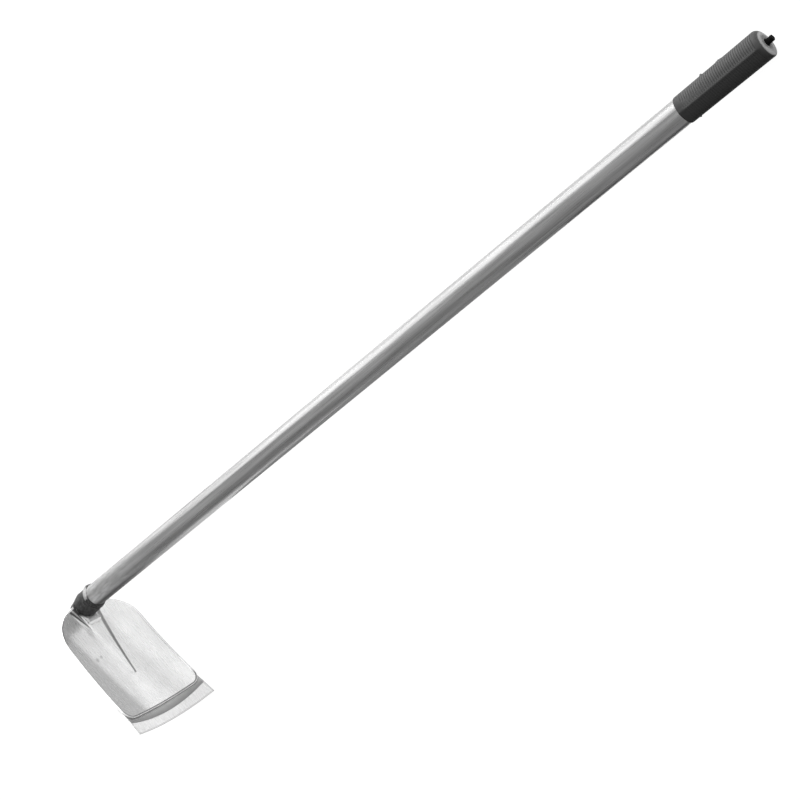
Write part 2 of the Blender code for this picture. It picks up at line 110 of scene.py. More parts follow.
def keepPlaces(piece):
    # each point keeps its place in the hoe's axes and in the handle's, for the finishes
    mesh = piece.data
    placed = np.empty(len(mesh.vertices) * 3)
    mesh.vertices.foreach_get("co", placed)
    onHoe = (placed.reshape(-1, 3) - hoeStart) @ hoeTurn
    onHandle = np.stack((onHoe @ handleFront, onHoe @ handleSide, onHoe @ handleLine), axis=-1)
    for name, values in (("onHoe", onHoe), ("onHandle", onHandle)):
        attribute = mesh.attributes.new(name, "FLOAT_VECTOR", "POINT")
        attribute.data.foreach_set("vector", values.ravel())

def keepMask(piece, name, values):
    # a value for each of the first points, and 0 for the rest
    values = np.asarray(values, dtype=float).ravel()
    padded = np.zeros(len(piece.data.vertices))
    padded[:values.size] = values
    mask = piece.data.attributes.new(name, "FLOAT", "POINT")
    mask.data.foreach_set("value", padded)

def rimDistance(points, rows, columns):
    # how far each face point lies from the rim of its grid, in metres
    rim = points[rimLoop(rows, columns)]
    distance = np.zeros(len(points))
    atOnce = 2000
    for start in range(0, rows * columns, atOnce):
        part = points[start:min(start + atOnce, rows * columns)]
        away = np.linalg.norm(part[:, None, :] - rim[None, :, :], axis=-1)
        distance[start:start + len(part)] = away.min(axis=1)
    return distance

def finishPiece(piece, node):
    keepPlaces(piece)
    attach(piece, "root")
    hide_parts(node)
    print("made", piece.name, len(piece.data.polygons), "faces")

def cutWith(piece, cutter, sharpAngle=50):
    cut = piece.modifiers.new("cut", "BOOLEAN")
    cut.operation = "DIFFERENCE"
    cut.solver = "EXACT"
    cut.object = cutter
    bpy.context.view_layer.update()
    solid = piece.evaluated_get(bpy.context.evaluated_depsgraph_get())
    mesh = bpy.data.meshes.new_from_object(solid)
    piece.modifiers.clear()
    old = piece.data
    piece.data = mesh
    bpy.data.meshes.remove(old)
    mesh.set_sharp_from_angle(angle=math.radians(sharpAngle))

def ringsAlong(centres, sideways, upwards, radii, around):
    # a ring of points round each centre; radii may hold one row per ring
    turns = np.linspace(0.0, 2 * math.pi, around, endpoint=False)
    radii = np.asarray(radii)
    if radii.ndim == 1:
        radii = np.repeat(radii[:, None], around, axis=1)
    out = (sideways[:, None, :] * np.cos(turns)[None, :, None]
           + upwards[:, None, :] * np.sin(turns)[None, :, None])
    return centres[:, None, :] + out * radii[..., None]

def rodFaces(rings, around):
    # rings of points with a flat face over the first and the last
    faces = gridQuads(rings, around, wrap=True)
    faces.append(list(range(around))[::-1])
    faces.append([(rings - 1) * around + i for i in range(around)])
    return faces

def sleeveFaces(rings, around):
    # rings of points, the last joined to the first, as in a tube with a wall
    faces = gridQuads(rings, around, wrap=True)
    last = (rings - 1) * around
    for i in range(around):
        j = (i + 1) % around
        faces.append([last + i, last + j, j, i])
    return faces

def turnedPoints(profile, around, wobble=0.0):
    # profile of (radius, distance up the handle) turned about the handle's line
    profile = np.array(profile)
    turns = np.linspace(0.0, 2 * math.pi, around, endpoint=False)
    out = np.cos(turns)[:, None] * handleFront + np.sin(turns)[:, None] * handleSide
    radius = np.repeat(profile[:, 0][:, None], around, axis=1) + wobble
    return profile[:, 1][:, None, None] * handleLine + radius[..., None] * out[None, :, :]

def lowCorner(radius, distance, rounding, turns):
    # a profile's rounded corner from its low end face out to its side
    return [(radius - rounding * (1 - math.sin(turn)), distance + rounding * (1 - math.cos(turn)))
            for turn in map(math.radians, turns)]

def highCorner(radius, distance, rounding, turns):
    # a profile's rounded corner from its side in to its high end face
    return [(radius - rounding * (1 - math.cos(turn)), distance - rounding * (1 - math.sin(turn)))
            for turn in map(math.radians, turns)]

def linear(hexColour):
    # sRGB hex to the linear values that Blender works with
    parts = [int(hexColour[i:i + 2], 16) / 255 for i in (1, 3, 5)]
    parts = [p / 12.92 if p <= 0.04045 else ((p + 0.055) / 1.055) ** 2.4 for p in parts]
    return (*parts, 1.0)

def addNode(tree, kind, settings=None, values=None, links=None):
    node = tree.nodes.new("ShaderNode" + kind)
    for name, value in (settings or {}).items():
        setattr(node, name, value)
    for name, value in (values or {}).items():
        node.inputs[name].default_value = value
    for name, socket in (links or {}).items():
        tree.links.new(socket, node.inputs[name])
    return node

# settings that many nodes share
times = {"operation": "MULTIPLY"}
plus = {"operation": "ADD"}
timesPlus = {"operation": "MULTIPLY_ADD"}
largest = {"operation": "MAXIMUM"}
softly = {"interpolation_type": "SMOOTHSTEP"}
ofColours = {"data_type": "RGBA"}
ofNumbers = {"data_type": "FLOAT"}

def span(fromLow, fromHigh, toLow=0.0, toHigh=1.0):
    # the range that a node takes and the one that it gives
    return {"From Min": fromLow, "From Max": fromHigh, "To Min": toLow, "To Max": toHigh}

def newMaterial(name, metallic, roughness):
    material = bpy.data.materials.new(name)
    material.use_nodes = True
    shader = material.node_tree.nodes["Principled BSDF"]
    shader.inputs["Metallic"].default_value = metallic
    shader.inputs["Roughness"].default_value = roughness
    return material, material.node_tree, shader

sheetSizes = {
    "thickness": 0.0025,
    "top": -0.003,
    "shoulderDepth": 0.053,
    "waistWidth": 0.1411,
    "edgeWidth": 0.1503,
    "reach": 0.1736,
    "corner": 0.0155,
    "dishRadius": 0.261,
    "bowRadius": 0.75,
    "bowCentre": 0.095,
    "edgeRounding": 0.0005,
    "rows": 168,
    "columns": 176,
}
ribSizes = {
    "footHalfWidth": 0.0269,
    "wallRun": 0.0115,
    "tipX": 0.118,
    "tipHalfWidth": 0.0045,
    "tipWallRun": 0.0042,
    "height": 0.0039,
    "tipHeight": 0.0011,
    "tipRounding": 0.005,
    "bend": 0.18,
    "softBend": 0.49,
    "softRun": 1.1,
    "softFrom": 0.028,
    "softFade": 0.03,
}
# where the sheet's marks lie, in metres down the blade and across it
markSizes = {
    # across a wall of the rib, in shares of it: where a mark begins and ends, and how softly
    "wallFrom": (0.02, 0.12),
    "wallTo": (0.96, 0.12),
    "neckReflectionFrom": (0.08, 0.12),
    "neckReflectionTo": (1.12, 0.2),
    "neckReflectionBand": {"share": 0.6, "middle": 0.55, "width": 0.12},
    "neckReflectionEnd": 0.046,
    "neckReflectionFade": 0.006,
    "crestHalfWidth": 0.0020,
    "crestSoft": 0.0008,
    "crestEnd": 0.060,
    "crestFade": 0.03,
    # how far in the painted dark reflection band and the pale strip beside it reach: places down
    # and across the blade
    "darkBandEdge": ((0.034, 0.058, 0.100, 0.168), (-0.056, -0.048, -0.040, -0.032)),
    "paleBandEdge": ((0.034, 0.100, 0.168), (-0.015, -0.013, -0.018)),
    "darkBandSoft": 0.015,
    "paleBandSoft": 0.018,
    "paleBandShare": 0.34,
    "darkBandFrom": 0.026,
    "darkBandFade": 0.014,
    "frontFrom": 0.150,
    "frontSoft": 0.012,
    "upperFrom": 0.035,
    "upperSoft": 0.02,
    "upperShare": 0.55,
}
stripSizes = {
    "thickness": 0.0025,
    "inset": 0.0008,
    "flare": 0.0014,
    "lap": 0.022,
    "edgeShowing": 0.0248,
    "edgeBow": 0.0018,
    "land": 0.0004,
    "bevelMiddle": 0.0125,
    "bevelSide": 0.0180,
    "seatGap": 0.0003,
    "edgeRounding": 0.00035,
    "besideBevel": 0.013,
    "columns": 150,
    "faceRows": 30,
    "bevelRows": 15,
    "firstBevelStep": 0.012,
}
bladeReach = sheetSizes["reach"] + stripSizes["edgeShowing"]
shoulderX = sheetSizes["top"] + sheetSizes["shoulderDepth"]
cuttingX = bladeReach - stripSizes["edgeBow"]

def halfWidth(x):
    share = (x - shoulderX) / (cuttingX - shoulderX)
    waist = sheetSizes["waistWidth"]
    return (waist + (sheetSizes["edgeWidth"] - waist) * share) / 2

def arcHeight(distance, radius):
    return radius - np.sqrt(radius * radius - distance * distance)

def plainHeight(x, y):
    return (arcHeight(y, sheetSizes["dishRadius"])
            + arcHeight(x - sheetSizes["bowCentre"], sheetSizes["bowRadius"]))

def bentRamp(share, bend):
    # a straight ramp from 0 to 1 with a round bend at each end
    share = np.clip(share, 0.0, 1.0)
    low = np.minimum(share, 1.0 - share)
    ramp = np.where(low < bend, low * low / (2 * bend * (1 - bend)), (low - bend / 2) / (1 - bend))
    return np.where(share > 0.5, 1.0 - ramp, ramp)

def ribFoot(x):
    # how far along the rib a place is, its half width there and the run of its walls
    s = ribSizes
    share = np.minimum(x, s["tipX"]) / s["tipX"]
    foot = s["footHalfWidth"] + (s["tipHalfWidth"] - s["footHalfWidth"]) * share
    run = s["wallRun"] + (s["tipWallRun"] - s["wallRun"]) * share
    return share, foot, run

def ribHeight(x, y):
    s = ribSizes
    share, foot, run = ribFoot(x)
    crest = foot - run
    height = s["height"] + (s["tipHeight"] - s["height"]) * np.clip(share, 0.0, 1.0)
    fade = 1.0 - smoothStep((x - s["tipX"] + s["tipRounding"]) / s["tipRounding"])
    # the press left the upper wall soft away from the neck
    soft = smoothStep((x - s["softFrom"]) / s["softFade"]) * (y < 0)
    bend = s["bend"] + (s["softBend"] - s["bend"]) * soft
    wall = 1.0 - bentRamp((np.abs(y) - crest) / (run * (1.0 + s["softRun"] * soft)), bend)
    return height * fade * wall

def betweenMarks(place, low, high):
    # 1 between two of the places in markSizes, with soft ends
    (start, rise), (end, fall) = markSizes[low], markSizes[high]
    return smoothStep((place - start) / rise) * smoothStep((end - place) / fall)

def darkWallReflection(x, y):
    # painted shade: 1 on the straight part of the rib's lower wall, which is darkened for the dark
    # that it reflects, 0 elsewhere
    foot, run = ribFoot(x)[1:]
    inside = betweenMarks((y - foot + run) / run, "wallFrom", "wallTo")
    return inside * (x < ribSizes["tipX"] - ribSizes["tipRounding"] * 0.3)

def darkNeckReflection(x, y):
    # painted reflection: 1 where dark bands are painted on the rib's upper wall beside the neck,
    # standing for the dark neck that it reflects
    s = markSizes
    foot, run = ribFoot(x)[1:]
    narrow = np.clip((s["neckReflectionEnd"] - x) / s["neckReflectionEnd"], 0.02, 1.0)
    place = (-y - foot + run) / run / narrow
    inside = betweenMarks(place, "neckReflectionFrom", "neckReflectionTo")
    band = s["neckReflectionBand"]
    bands = 1.0 - band["share"] * np.exp(-((place - band["middle"]) / band["width"]) ** 2)
    return inside * bands * smoothStep((s["neckReflectionEnd"] - x) / s["neckReflectionFade"])

def crestHighlight(x, y):
    # painted highlight: 1 on a white line painted along the rib's upper crest beside the neck
    s = markSizes
    foot, run = ribFoot(x)[1:]
    away = np.abs(-y - foot + run)
    return (smoothStep((s["crestHalfWidth"] - away) / s["crestSoft"])
            * smoothStep((s["crestEnd"] - x) / s["crestFade"]))

def darkReflectionBand(x, y):
    # painted reflection: 1 on a darker band along the raised side, standing for the dark that it
    # reflects, then a paler strip beside it
    s = markSizes
    dull = smoothStep((np.interp(x, *s["darkBandEdge"]) - y) / s["darkBandSoft"] + 0.5)
    pale = smoothStep((np.interp(x, *s["paleBandEdge"]) - y) / s["paleBandSoft"] + 0.5)
    return ((s["paleBandShare"] * pale + (1 - s["paleBandShare"]) * dull)
            * smoothStep((x - s["darkBandFrom"]) / s["darkBandFade"]))

def nearEdge(x, y):
    # 1 beside the front edge, and a share of it beside the upper one
    s = markSizes
    return np.maximum(smoothStep((x - s["frontFrom"]) / s["frontSoft"]),
                      s["upperShare"] * smoothStep((-y - s["upperFrom"]) / s["upperSoft"]))

def faceHeight(x, y):
    return plainHeight(x, y) + ribHeight(x, y)

def surfacePoints(x, y, height):
    return np.stack((x, y, height(x, y)), axis=-1)

def surfaceNormals(x, y, height, step=0.0002):
    slopeX = (height(x + step, y) - height(x - step, y)) / (2 * step)
    slopeY = (height(x, y + step) - height(x, y - step)) / (2 * step)
    return unit(np.stack((-slopeX, -slopeY, np.ones_like(slopeX)), axis=-1))

def denseMiddle(count, share=0.62, reach=0.36):
    # column places from -1 to 1, closer together over the rib
    places = np.linspace(-1.0, 1.0, count)
    inner = np.clip(np.abs(places) / share, 0.0, 1.0) * reach
    outer = np.clip((np.abs(places) - share) / (1.0 - share), 0.0, 1.0) * (1.0 - reach)
    return np.sign(places) * (inner + outer)

def sheetPlan(inset):
    # columns run from the rounded top down to the front edge and its round corners
    s = sheetSizes
    across = denseMiddle(s["columns"])
    angle = across * math.pi / 2
    topX = shoulderX - (s["shoulderDepth"] - inset) * np.cos(angle)
    topY = (s["waistWidth"] / 2 - inset) * np.sin(angle)
    cornerX = s["reach"] - s["corner"]
    cornerY = halfWidth(cornerX) - s["corner"]
    radius = s["corner"] - inset
    total = cornerY + radius * math.pi / 2
    along = np.abs(across) * total
    turn = np.clip((along - cornerY) / radius, 0.0, math.pi / 2)
    frontX = cornerX + radius * np.cos(turn)
    frontY = np.sign(across) * (np.minimum(along, cornerY) + radius * np.sin(turn))
    down = np.linspace(0.0, 1.0, s["rows"])[:, None]
    return topX + (frontX - topX) * down, topY + (frontY - topY) * down

def plateMesh(points, normals, thickness, rounding):
    # a plate under a grid of face points; its rim is rolled outwards by the rounding
    rows, columns = points.shape[:2]
    thickness = np.broadcast_to(thickness, (rows, columns))
    loop = np.array(rimLoop(rows, columns))
    rim = points.reshape(-1, 3)[loop]
    up = normals.reshape(-1, 3)[loop]
    depth = thickness.ravel()[loop]
    before = unit(rim - np.roll(rim, 1, axis=0))
    after = unit(np.roll(rim, -1, axis=0) - rim)
    along = unit(before + after)
    out = unit(np.cross(along, up))
    centre = points.reshape(-1, 3).mean(axis=0)
    if np.sum(out * (rim - centre)) < 0:
        out = -out
    mitre = 1.0 / np.maximum(np.sum(before * along, axis=1), 0.6)
    bend = np.minimum(rounding, depth / 2.2)
    rings = []
    for degrees, onBack in ((30, 0), (60, 0), (90, 0), (90, 1), (60, 1), (30, 1)):
        turn = math.radians(degrees)
        drop = bend * (1 - math.cos(turn))
        if onBack:
            drop = depth - drop
        rings.append(rim + out * (bend * mitre * math.sin(turn))[:, None] - up * drop[:, None])
    back = points - normals * thickness[..., None]
    allPoints = np.concatenate([points.reshape(-1, 3)] + rings + [back.reshape(-1, 3)])
    count = rows * columns
    length = len(loop)
    faces = gridQuads(rows, columns)
    backStart = count + length * len(rings)
    faces += [[i + backStart for i in reversed(quad)] for quad in gridQuads(rows, columns)]
    bands = [loop] + [count + length * k + np.arange(length) for k in range(len(rings))]
    bands.append(backStart + loop)
    for upper, lower in zip(bands, bands[1:]):
        for i in range(length):
            j = (i + 1) % length
            faces.append([int(upper[j]), int(upper[i]), int(lower[i]), int(lower[j])])
    onRim = np.ones(len(allPoints))
    onRim[:count] = 0.0
    onRim[backStart:] = 0.0
    return allPoints, faces, onRim

def makeSheet(material):
    s = sheetSizes
    x, y = sheetPlan(s["edgeRounding"])
    points = surfacePoints(x, y, faceHeight)
    normals = surfaceNormals(x, y, faceHeight)
    allPoints, faces, onRim = plateMesh(points, normals, s["thickness"], s["edgeRounding"])
    piece = makePiece("bladeSheet", allPoints, faces, material)
    keepMask(piece, "onRim", onRim)
    for name, mark in (("onWallShade", darkWallReflection), ("onNeckReflection", darkNeckReflection), ("onCrestHighlight", crestHighlight),
                       ("onDarkReflectionBand", darkReflectionBand), ("onNearEdge", nearEdge)):
        keepMask(piece, name, mark(x, y))
    keepMask(piece, "fromRim", rimDistance(allPoints, *x.shape))
    finishPiece(piece, "blade_sheet")

def stripFace(x, y):
    return plainHeight(x, y) - sheetSizes["thickness"] - stripSizes["seatGap"]

def bevelWidth(share):
    s = stripSizes
    return s["bevelMiddle"] + (s["bevelSide"] - s["bevelMiddle"]) * share ** 2

def makeStrip(material):
    s = stripSizes
    inset = s["edgeRounding"]
    back = sheetSizes["reach"] - s["lap"] + inset
    across = np.linspace(-1.0, 1.0, s["columns"])
    sideBack = halfWidth(back) - s["inset"] - inset
    sideFront = halfWidth(cuttingX) + s["flare"] - inset
    edgeX = bladeReach - s["edgeBow"] * across ** 2 - inset * 0.4
    edgeY = across * sideFront
    backY = across * sideBack
    half = sheetSizes["edgeWidth"] / 2
    bevelShare = 1.0 - bevelWidth(edgeY / half) / (edgeX - back)
    rows = [bevelShare * step for step in np.linspace(0.0, 1.0, s["faceRows"])]
    for step in [s["firstBevelStep"]] + list(np.linspace(0.0, 1.0, s["bevelRows"])[1:]):
        rows.append(bevelShare + (1.0 - bevelShare) * step)
    down = np.array(rows)
    x = back + (edgeX - back) * down
    y = backY + (edgeY - backY) * down
    ground = np.clip((down - bevelShare) / (1.0 - bevelShare), 0.0, 1.0)
    points = surfacePoints(x, y, stripFace)
    normals = surfaceNormals(x, y, stripFace)
    groove = (s["thickness"] - s["land"]) * ground
    points = points - normals * groove[..., None]
    allPoints, faces, onRim = plateMesh(points, normals, s["thickness"] - groove, inset)
    piece = makePiece("edgeStrip", allPoints, faces, material, sharpAngle=5)
    keepMask(piece, "onRim", onRim)
    keepMask(piece, "onBevel", ground > 0.01)
    # how near the unground face is to the bevel, from 0 to 1
    fromBevel = (bevelShare - down) * (edgeX - back)
    keepMask(piece, "byBevel", smoothStep(1.0 - fromBevel / s["besideBevel"]))
    keepMask(piece, "fromRim", rimDistance(allPoints, *ground.shape))
    finishPiece(piece, "edge_strip")

stripWeldSizes = {
    "radius": 0.0016,
    "margin": 0.006,
    "taper": 0.004,
    "endShare": 0.45,
    "bodyShare": 0.52,
    "ripplePitch": 0.0016,
    "rippleDepth": 0.00016,
    "ringsPerRipple": 5,
    "around": 20,
}

def makeStripWeld(material):
    s = stripWeldSizes
    weldX = sheetSizes["reach"] - stripSizes["lap"] - stripSizes["seatGap"] - s["radius"]
    reach = halfWidth(weldX) - s["margin"]
    count = int(2 * reach / s["ripplePitch"] * s["ringsPerRipple"])
    y = np.linspace(-reach, reach, count)
    x = np.full_like(y, weldX)
    drop = sheetSizes["thickness"] + stripSizes["seatGap"] + s["radius"]
    z = plainHeight(x, y) - drop
    centres = np.stack((x, y, z), axis=-1)
    along = unit(np.gradient(centres, axis=0))
    side = np.tile(np.array((1.0, 0.0, 0.0)), (count, 1))
    up = unit(np.cross(along, side))
    taper = np.clip((reach - np.abs(y)) / s["taper"], 0.0, 1.0)
    radius = s["radius"] * (s["endShare"] + s["bodyShare"] * np.sqrt(taper))
    ripple = np.abs(np.sin(y / s["ripplePitch"] * math.pi)) * s["rippleDepth"]
    radius = radius - ripple
    rings = ringsAlong(centres, side, up, radius, s["around"])
    piece = makePiece("stripWeld", rings, rodFaces(count, s["around"]), material, sharpAngle=50)
    finishPiece(piece, "strip_weld")

tubeSizes = {
    "diameter": 0.030,
    "wall": 0.0010,
    "length": 1.210,
    "start": 0.021,
    "edgeRounding": 0.0003,
    "rings": 60,
    "around": 144,
}
neckSizes = {
    "rim": 0.0365,
    "wall": 0.0018,
    "bodyRadius": 0.0176,
    "shift": 0.0018,
    "hook": 0.005,
    "footForward": 0.0041,
    "footShare": 0.83,
    # each station up the neck: its drop below the rim, its share of the radius and the shift
    "stations": ((0.019, 1.0, 1.0), (0.010, 0.995, 1.0), (0.004, 0.965, 0.5)),
    "rimShift": 0.5,
    "between": 10,  # rings between two stations
    "leanFrom": 0.5,  # the station from which the rings lean to the handle, and over how many
    "leanOver": 1.6,
    "evenRings": 6.0,
    "pressGap": 0.0003,
    "lumpSize": 0.009,
    "lumpDepth": 0.00045,
    "under": 0.00006,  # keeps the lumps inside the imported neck
    "around": 96,
}
sheetSpaceSizes = {"rows": 110, "depth": 0.017, "ease": 0.0005}

def alongHandle(distance, forward=0.0):
    return handleLine * distance + handleFront * forward

def neckStations(grow, extend):
    s = neckSizes
    foot = float(plainHeight(np.array(0.0), np.array(0.0)))
    bottom = foot - s["hook"] - sheetSizes["thickness"] - extend
    centres = [np.array((s["footForward"], 0.0, height)) for height in (bottom, foot)]
    radii = [s["bodyRadius"] * s["footShare"]] * 2
    for drop, share, shift in s["stations"]:
        centres.append(alongHandle(s["rim"] - drop, s["shift"] * shift))
        radii.append(s["bodyRadius"] * share)
    centres.append(alongHandle(s["rim"] + extend, s["shift"] * s["rimShift"]))
    radii.append(tubeSizes["diameter"] / 2 + s["pressGap"] + s["wall"])
    return np.array(centres), np.array(radii) + grow

def neckRings(grow=0.0, extend=0.0):
    s = neckSizes
    centres, radii = neckStations(grow, extend)
    spots = np.arange(len(centres))
    fine = np.linspace(0, len(centres) - 1, (len(centres) - 1) * s["between"] + 1)
    smooth = np.stack([np.interp(fine, spots, centres[:, i]) for i in range(3)], axis=-1)
    radius = np.interp(fine, spots, radii)
    # rings lean evenly from square to the sheet up to square to the handle
    lean = smoothStep((fine - s["leanFrom"]) / s["leanOver"])[:, None]
    up = unit(np.array((0.0, 0.0, 1.0)) * (1 - lean) + handleLine * lean)
    side = np.tile(handleSide, (len(fine), 1))
    front = np.cross(side, up)
    return smooth, front, side, radius

def sheetSpace(material):
    # room for the upper part of the sheet, with a hair of air over it
    s = sheetSpaceSizes
    gap = stripSizes["seatGap"]
    x, y = sheetPlan(-(gap + s["ease"]))
    x, y = x[:s["rows"]], y[:s["rows"]]
    top = np.stack((x, y, faceHeight(x, y) + gap), axis=-1)
    floor = np.stack((x, y, np.full_like(x, -s["depth"])), axis=-1)
    rows, columns = x.shape
    count = rows * columns
    faces = gridQuads(rows, columns)
    faces += [[i + count for i in reversed(quad)] for quad in gridQuads(rows, columns)]
    loop = rimLoop(rows, columns)
    for a, b in zip(loop, loop[1:] + loop[:1]):
        faces.append([b, a, a + count, b + count])
    return makePiece("sheetSpace", np.concatenate((top, floor)), faces, material)

def makeNeck(material, space):
    s = neckSizes
    around = s["around"]
    centres, front, side, radius = neckRings()
    rings = ringsAlong(centres, front, side, radius, around)
    lump = lumps(rings, s["lumpSize"], 3.7) + 0.5 * lumps(rings, s["lumpSize"] / 2.6, 8.1)
    fade = smoothStep((len(rings) - 1 - np.arange(len(rings))) / s["evenRings"])[:, None]
    out = unit(rings - centres[:, None, :])
    rings = rings + out * ((lump * s["lumpDepth"] - s["lumpDepth"]) * fade - s["under"])[..., None]
    bore = tubeSizes["diameter"] / 2 + s["pressGap"]
    low = tubeSizes["start"] - stripSizes["seatGap"]
    inner = turnedPoints([(bore, s["rim"]), (bore, low)], around)
    points = np.concatenate((rings, inner))
    piece = makePiece("neckSocket", points, rodFaces(len(points), around), material)
    cutWith(piece, space)
    finishPiece(piece, "neck_socket")

neckWeldSizes = {
    "toeX": 0.0315,
    "toeHalfWidth": 0.0122,
    "side": 0.0022,
    "tail": 0.0014,
    "sweep": 116,  # degrees to each side
    "tailShare": 1.0 / 11,
    "fill": 0.985,
    "evenedOver": 9,
    "flat": 0.42,
    "standOff": 0.5,
    "lift": 0.1,
    "rippleCount": 22,
    "rippleDepth": 0.00028,
    "rippleCurl": 1.2,
    "lumpSize": 0.003,
    "lumpShare": 0.03,
    "neckEase": 0.00005,
    "neckExtra": 0.0085,
    "rings": 200,
    "around": 40,
}

def makeNeckWeld(material, space):
    s = neckWeldSizes
    share = np.linspace(-1.0, 1.0, s["rings"])
    angle = math.radians(s["sweep"]) * share
    # its front part spreads over the rib's flat top to a straight toe
    foot = neckSizes["bodyRadius"] * neckSizes["footShare"]
    toe = (s["toeX"] - neckSizes["footForward"]) / np.maximum(np.cos(angle), 0.01)
    edge = s["toeHalfWidth"] / np.maximum(np.abs(np.sin(angle)), 0.01)
    size = np.maximum((np.minimum(toe, edge) - foot) / (s["standOff"] + s["fill"]), s["side"])
    evened = s["evenedOver"]
    size = np.convolve(np.pad(size, evened // 2, mode="edge"), np.ones(evened) / evened,
                       mode="valid")
    ends = smoothStep((1.0 - np.abs(share)) / s["tailShare"])
    size = s["tail"] + (size - s["tail"]) * ends
    reach = foot + size * s["standOff"]
    x = neckSizes["footForward"] + reach * np.cos(angle)
    y = reach * np.sin(angle)
    z = faceHeight(x, y) + size * s["lift"]
    centres = np.stack((x, y, z), axis=-1)
    along = unit(np.gradient(centres, axis=0))
    out = unit(np.stack((np.cos(angle), np.sin(angle), np.zeros_like(angle)), axis=-1))
    up = unit(np.cross(along, out))
    turns = np.linspace(0.0, 2 * math.pi, s["around"], endpoint=False)
    phase = share[:, None] * s["rippleCount"] * math.pi - s["rippleCurl"] * np.cos(turns)[None, :]
    ripple = (np.abs(np.sin(phase)) - 1.0) * s["rippleDepth"]
    radius = size[:, None] * s["fill"] + ripple
    rings = ringsAlong(centres, out, up * s["flat"], radius, s["around"])
    uneven = s["lumpShare"] * (lumps(rings, s["lumpSize"], 5.0) - 1)
    rings = rings + (rings - centres[:, None, :]) * uneven[..., None]
    piece = makePiece("neckWeld", rings, rodFaces(s["rings"], s["around"]), material)
    neckCentres, front, side, neckRadius = neckRings(s["neckEase"], s["neckExtra"])
    around = neckSizes["around"]
    cutterRings = ringsAlong(neckCentres, front, side, neckRadius, around)
    cutter = makePiece("neckSpace", cutterRings, rodFaces(len(neckCentres), around), material)
    cutWith(piece, cutter)
    cutWith(piece, space)
    bpy.data.objects.remove(cutter, do_unlink=True)
    finishPiece(piece, "neck_weld")

tubeWeldSizes = {
    "height": 0.0056,
    "lip": 0.0012,
    "bulge": 0.0023,
    "toe": 0.0020,
    "bevel": 0.0004,
    "toeEdge": 0.0003,
    "tubeGap": 0.00003,
    "rimGap": 0.00009,
    "under": (0.0001, 0.00005),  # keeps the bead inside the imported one, outwards and upwards
    "rippleCount": 30,
    "rippleDepth": 0.00025,
    "rippleCurl": 1.1,
    "lumpSize": 0.006,
    "fineLumpSize": 0.0028,
    "lumpDepth": 0.00045,
    "around": 240,
}

def makeTubeWeld(material):
    s = tubeWeldSizes
    inner = tubeSizes["diameter"] / 2 + s["tubeGap"]
    seat = tubeSizes["diameter"] / 2 + neckSizes["pressGap"]
    low = neckSizes["rim"] + s["rimGap"]
    profile = [(inner, low), (inner, neckSizes["rim"] + s["height"])]
    rise = s["height"] - s["lip"]
    for degrees in range(84, -1, -7):
        turn = math.radians(degrees)
        profile.append((seat + s["bulge"] * math.cos(turn) - s["under"][0],
                        neckSizes["rim"] + s["lip"] + rise * math.sin(turn) - s["under"][1]))
    profile.append((seat + s["toe"], low + s["toeEdge"]))
    profile.append((seat + s["toe"] - s["bevel"], low))
    around = s["around"]
    turns = np.linspace(0.0, 2 * math.pi, around, endpoint=False)
    level = np.linspace(0.0, 1.0, len(profile))
    body = np.sin(np.clip((level - 0.1) / 0.85, 0, 1) * math.pi)[:, None]
    phase = turns[None, :] * s["rippleCount"] / 2 + s["rippleCurl"] * level[:, None] * math.pi
    bump = -(1.0 - np.abs(np.sin(phase))) * s["rippleDepth"] * body
    points = turnedPoints(profile, around, bump)
    uneven = lumps(points, s["lumpSize"], 2.2) + 0.6 * lumps(points, s["fineLumpSize"], 4.6)
    out = unit(points - (points @ handleLine)[..., None] * handleLine)
    points = points + out * ((uneven - 0.7) * s["lumpDepth"] * body)[..., None]
    faces = sleeveFaces(len(profile), around)
    piece = makePiece("tubeWeld", points, faces, material)
    finishPiece(piece, "tube_weld")

def makeTube(material):
    s = tubeSizes
    outer = s["diameter"] / 2
    inner = outer - s["wall"]
    soft = s["edgeRounding"]
    low = s["start"]
    high = s["start"] + s["length"]
    profile = [(inner, low + soft), (inner + soft, low), (outer - soft, low), (outer, low + soft)]
    for step in np.linspace(0.0, 1.0, s["rings"])[1:-1]:
        profile.append((outer, low + (high - low) * step))
    profile += [(outer, high - soft), (outer - soft, high), (inner + soft, high),
                (inner, high - soft)]
    around = s["around"]
    points = turnedPoints(profile, around)
    faces = sleeveFaces(len(profile), around)
    piece = makePiece("handleTube", points, faces, material)
    finishPiece(piece, "handle_tube")

gripSizes = {
    "length": 0.1113,
    "wallLow": 0.0007,
    "wallHigh": 0.0013,
    "endWall": 0.0036,
    "cuff": 0.0086,
    "cuffRings": 6,
    "cuffFrom": 0.0015,
    "cuffShort": 0.0002,
    "crown": 0.007,
    "rounding": 0.006,
    # how much of the rounding is taken off at the front and added at the back, across
    # the grip and along it
    "roundingAcross": (0.62, 0.25),
    "roundingAlong": (0.62, 0.05),
    "gap": 0.0001,
    "ribPitch": 0.0028,
    "ribLand": 0.0012,
    "ribDepth": 0.0005,
    # half of a groove: share of its half width, share of its depth
    "grooveShape": ((0.0, 1.0), (0.32, 0.86), (0.62, 0.42), (0.85, 0.1), (1.0, 0.0)),
    "holeBevel": 0.0004,
    "endTurns": (0, 18, 36, 54, 72, 90),  # degrees round the rounded end
    "endShares": (0.25, 0.5, 0.75),  # rings between it and the hole
    "frontTurn": 8,  # degrees round from the blade's side to the less rounded front
    "partingTurn": 100,  # degrees round from the blade's side to the mould line
    "partingLine": (2.0, 4.0),  # degrees beside it without grooves, and to their full depth
    "roofSlopes": (14.0, 46.0),
    "nubHalfWidth": 0.0012,
    "roof": 0.0005,
    # the roof and the nubs end this far below the closed end, and fade over this much
    "reliefEnd": (0.003, 0.006),
    # each nub: degrees round, distance up the grip, half length, height
    "nubs": ((188, 0.037, 0.0010, 0.0019), (186, 0.0605, 0.0035, 0.0009),
             (8, 0.0105, 0.0009, 0.0012)),
    "around": 180,
}
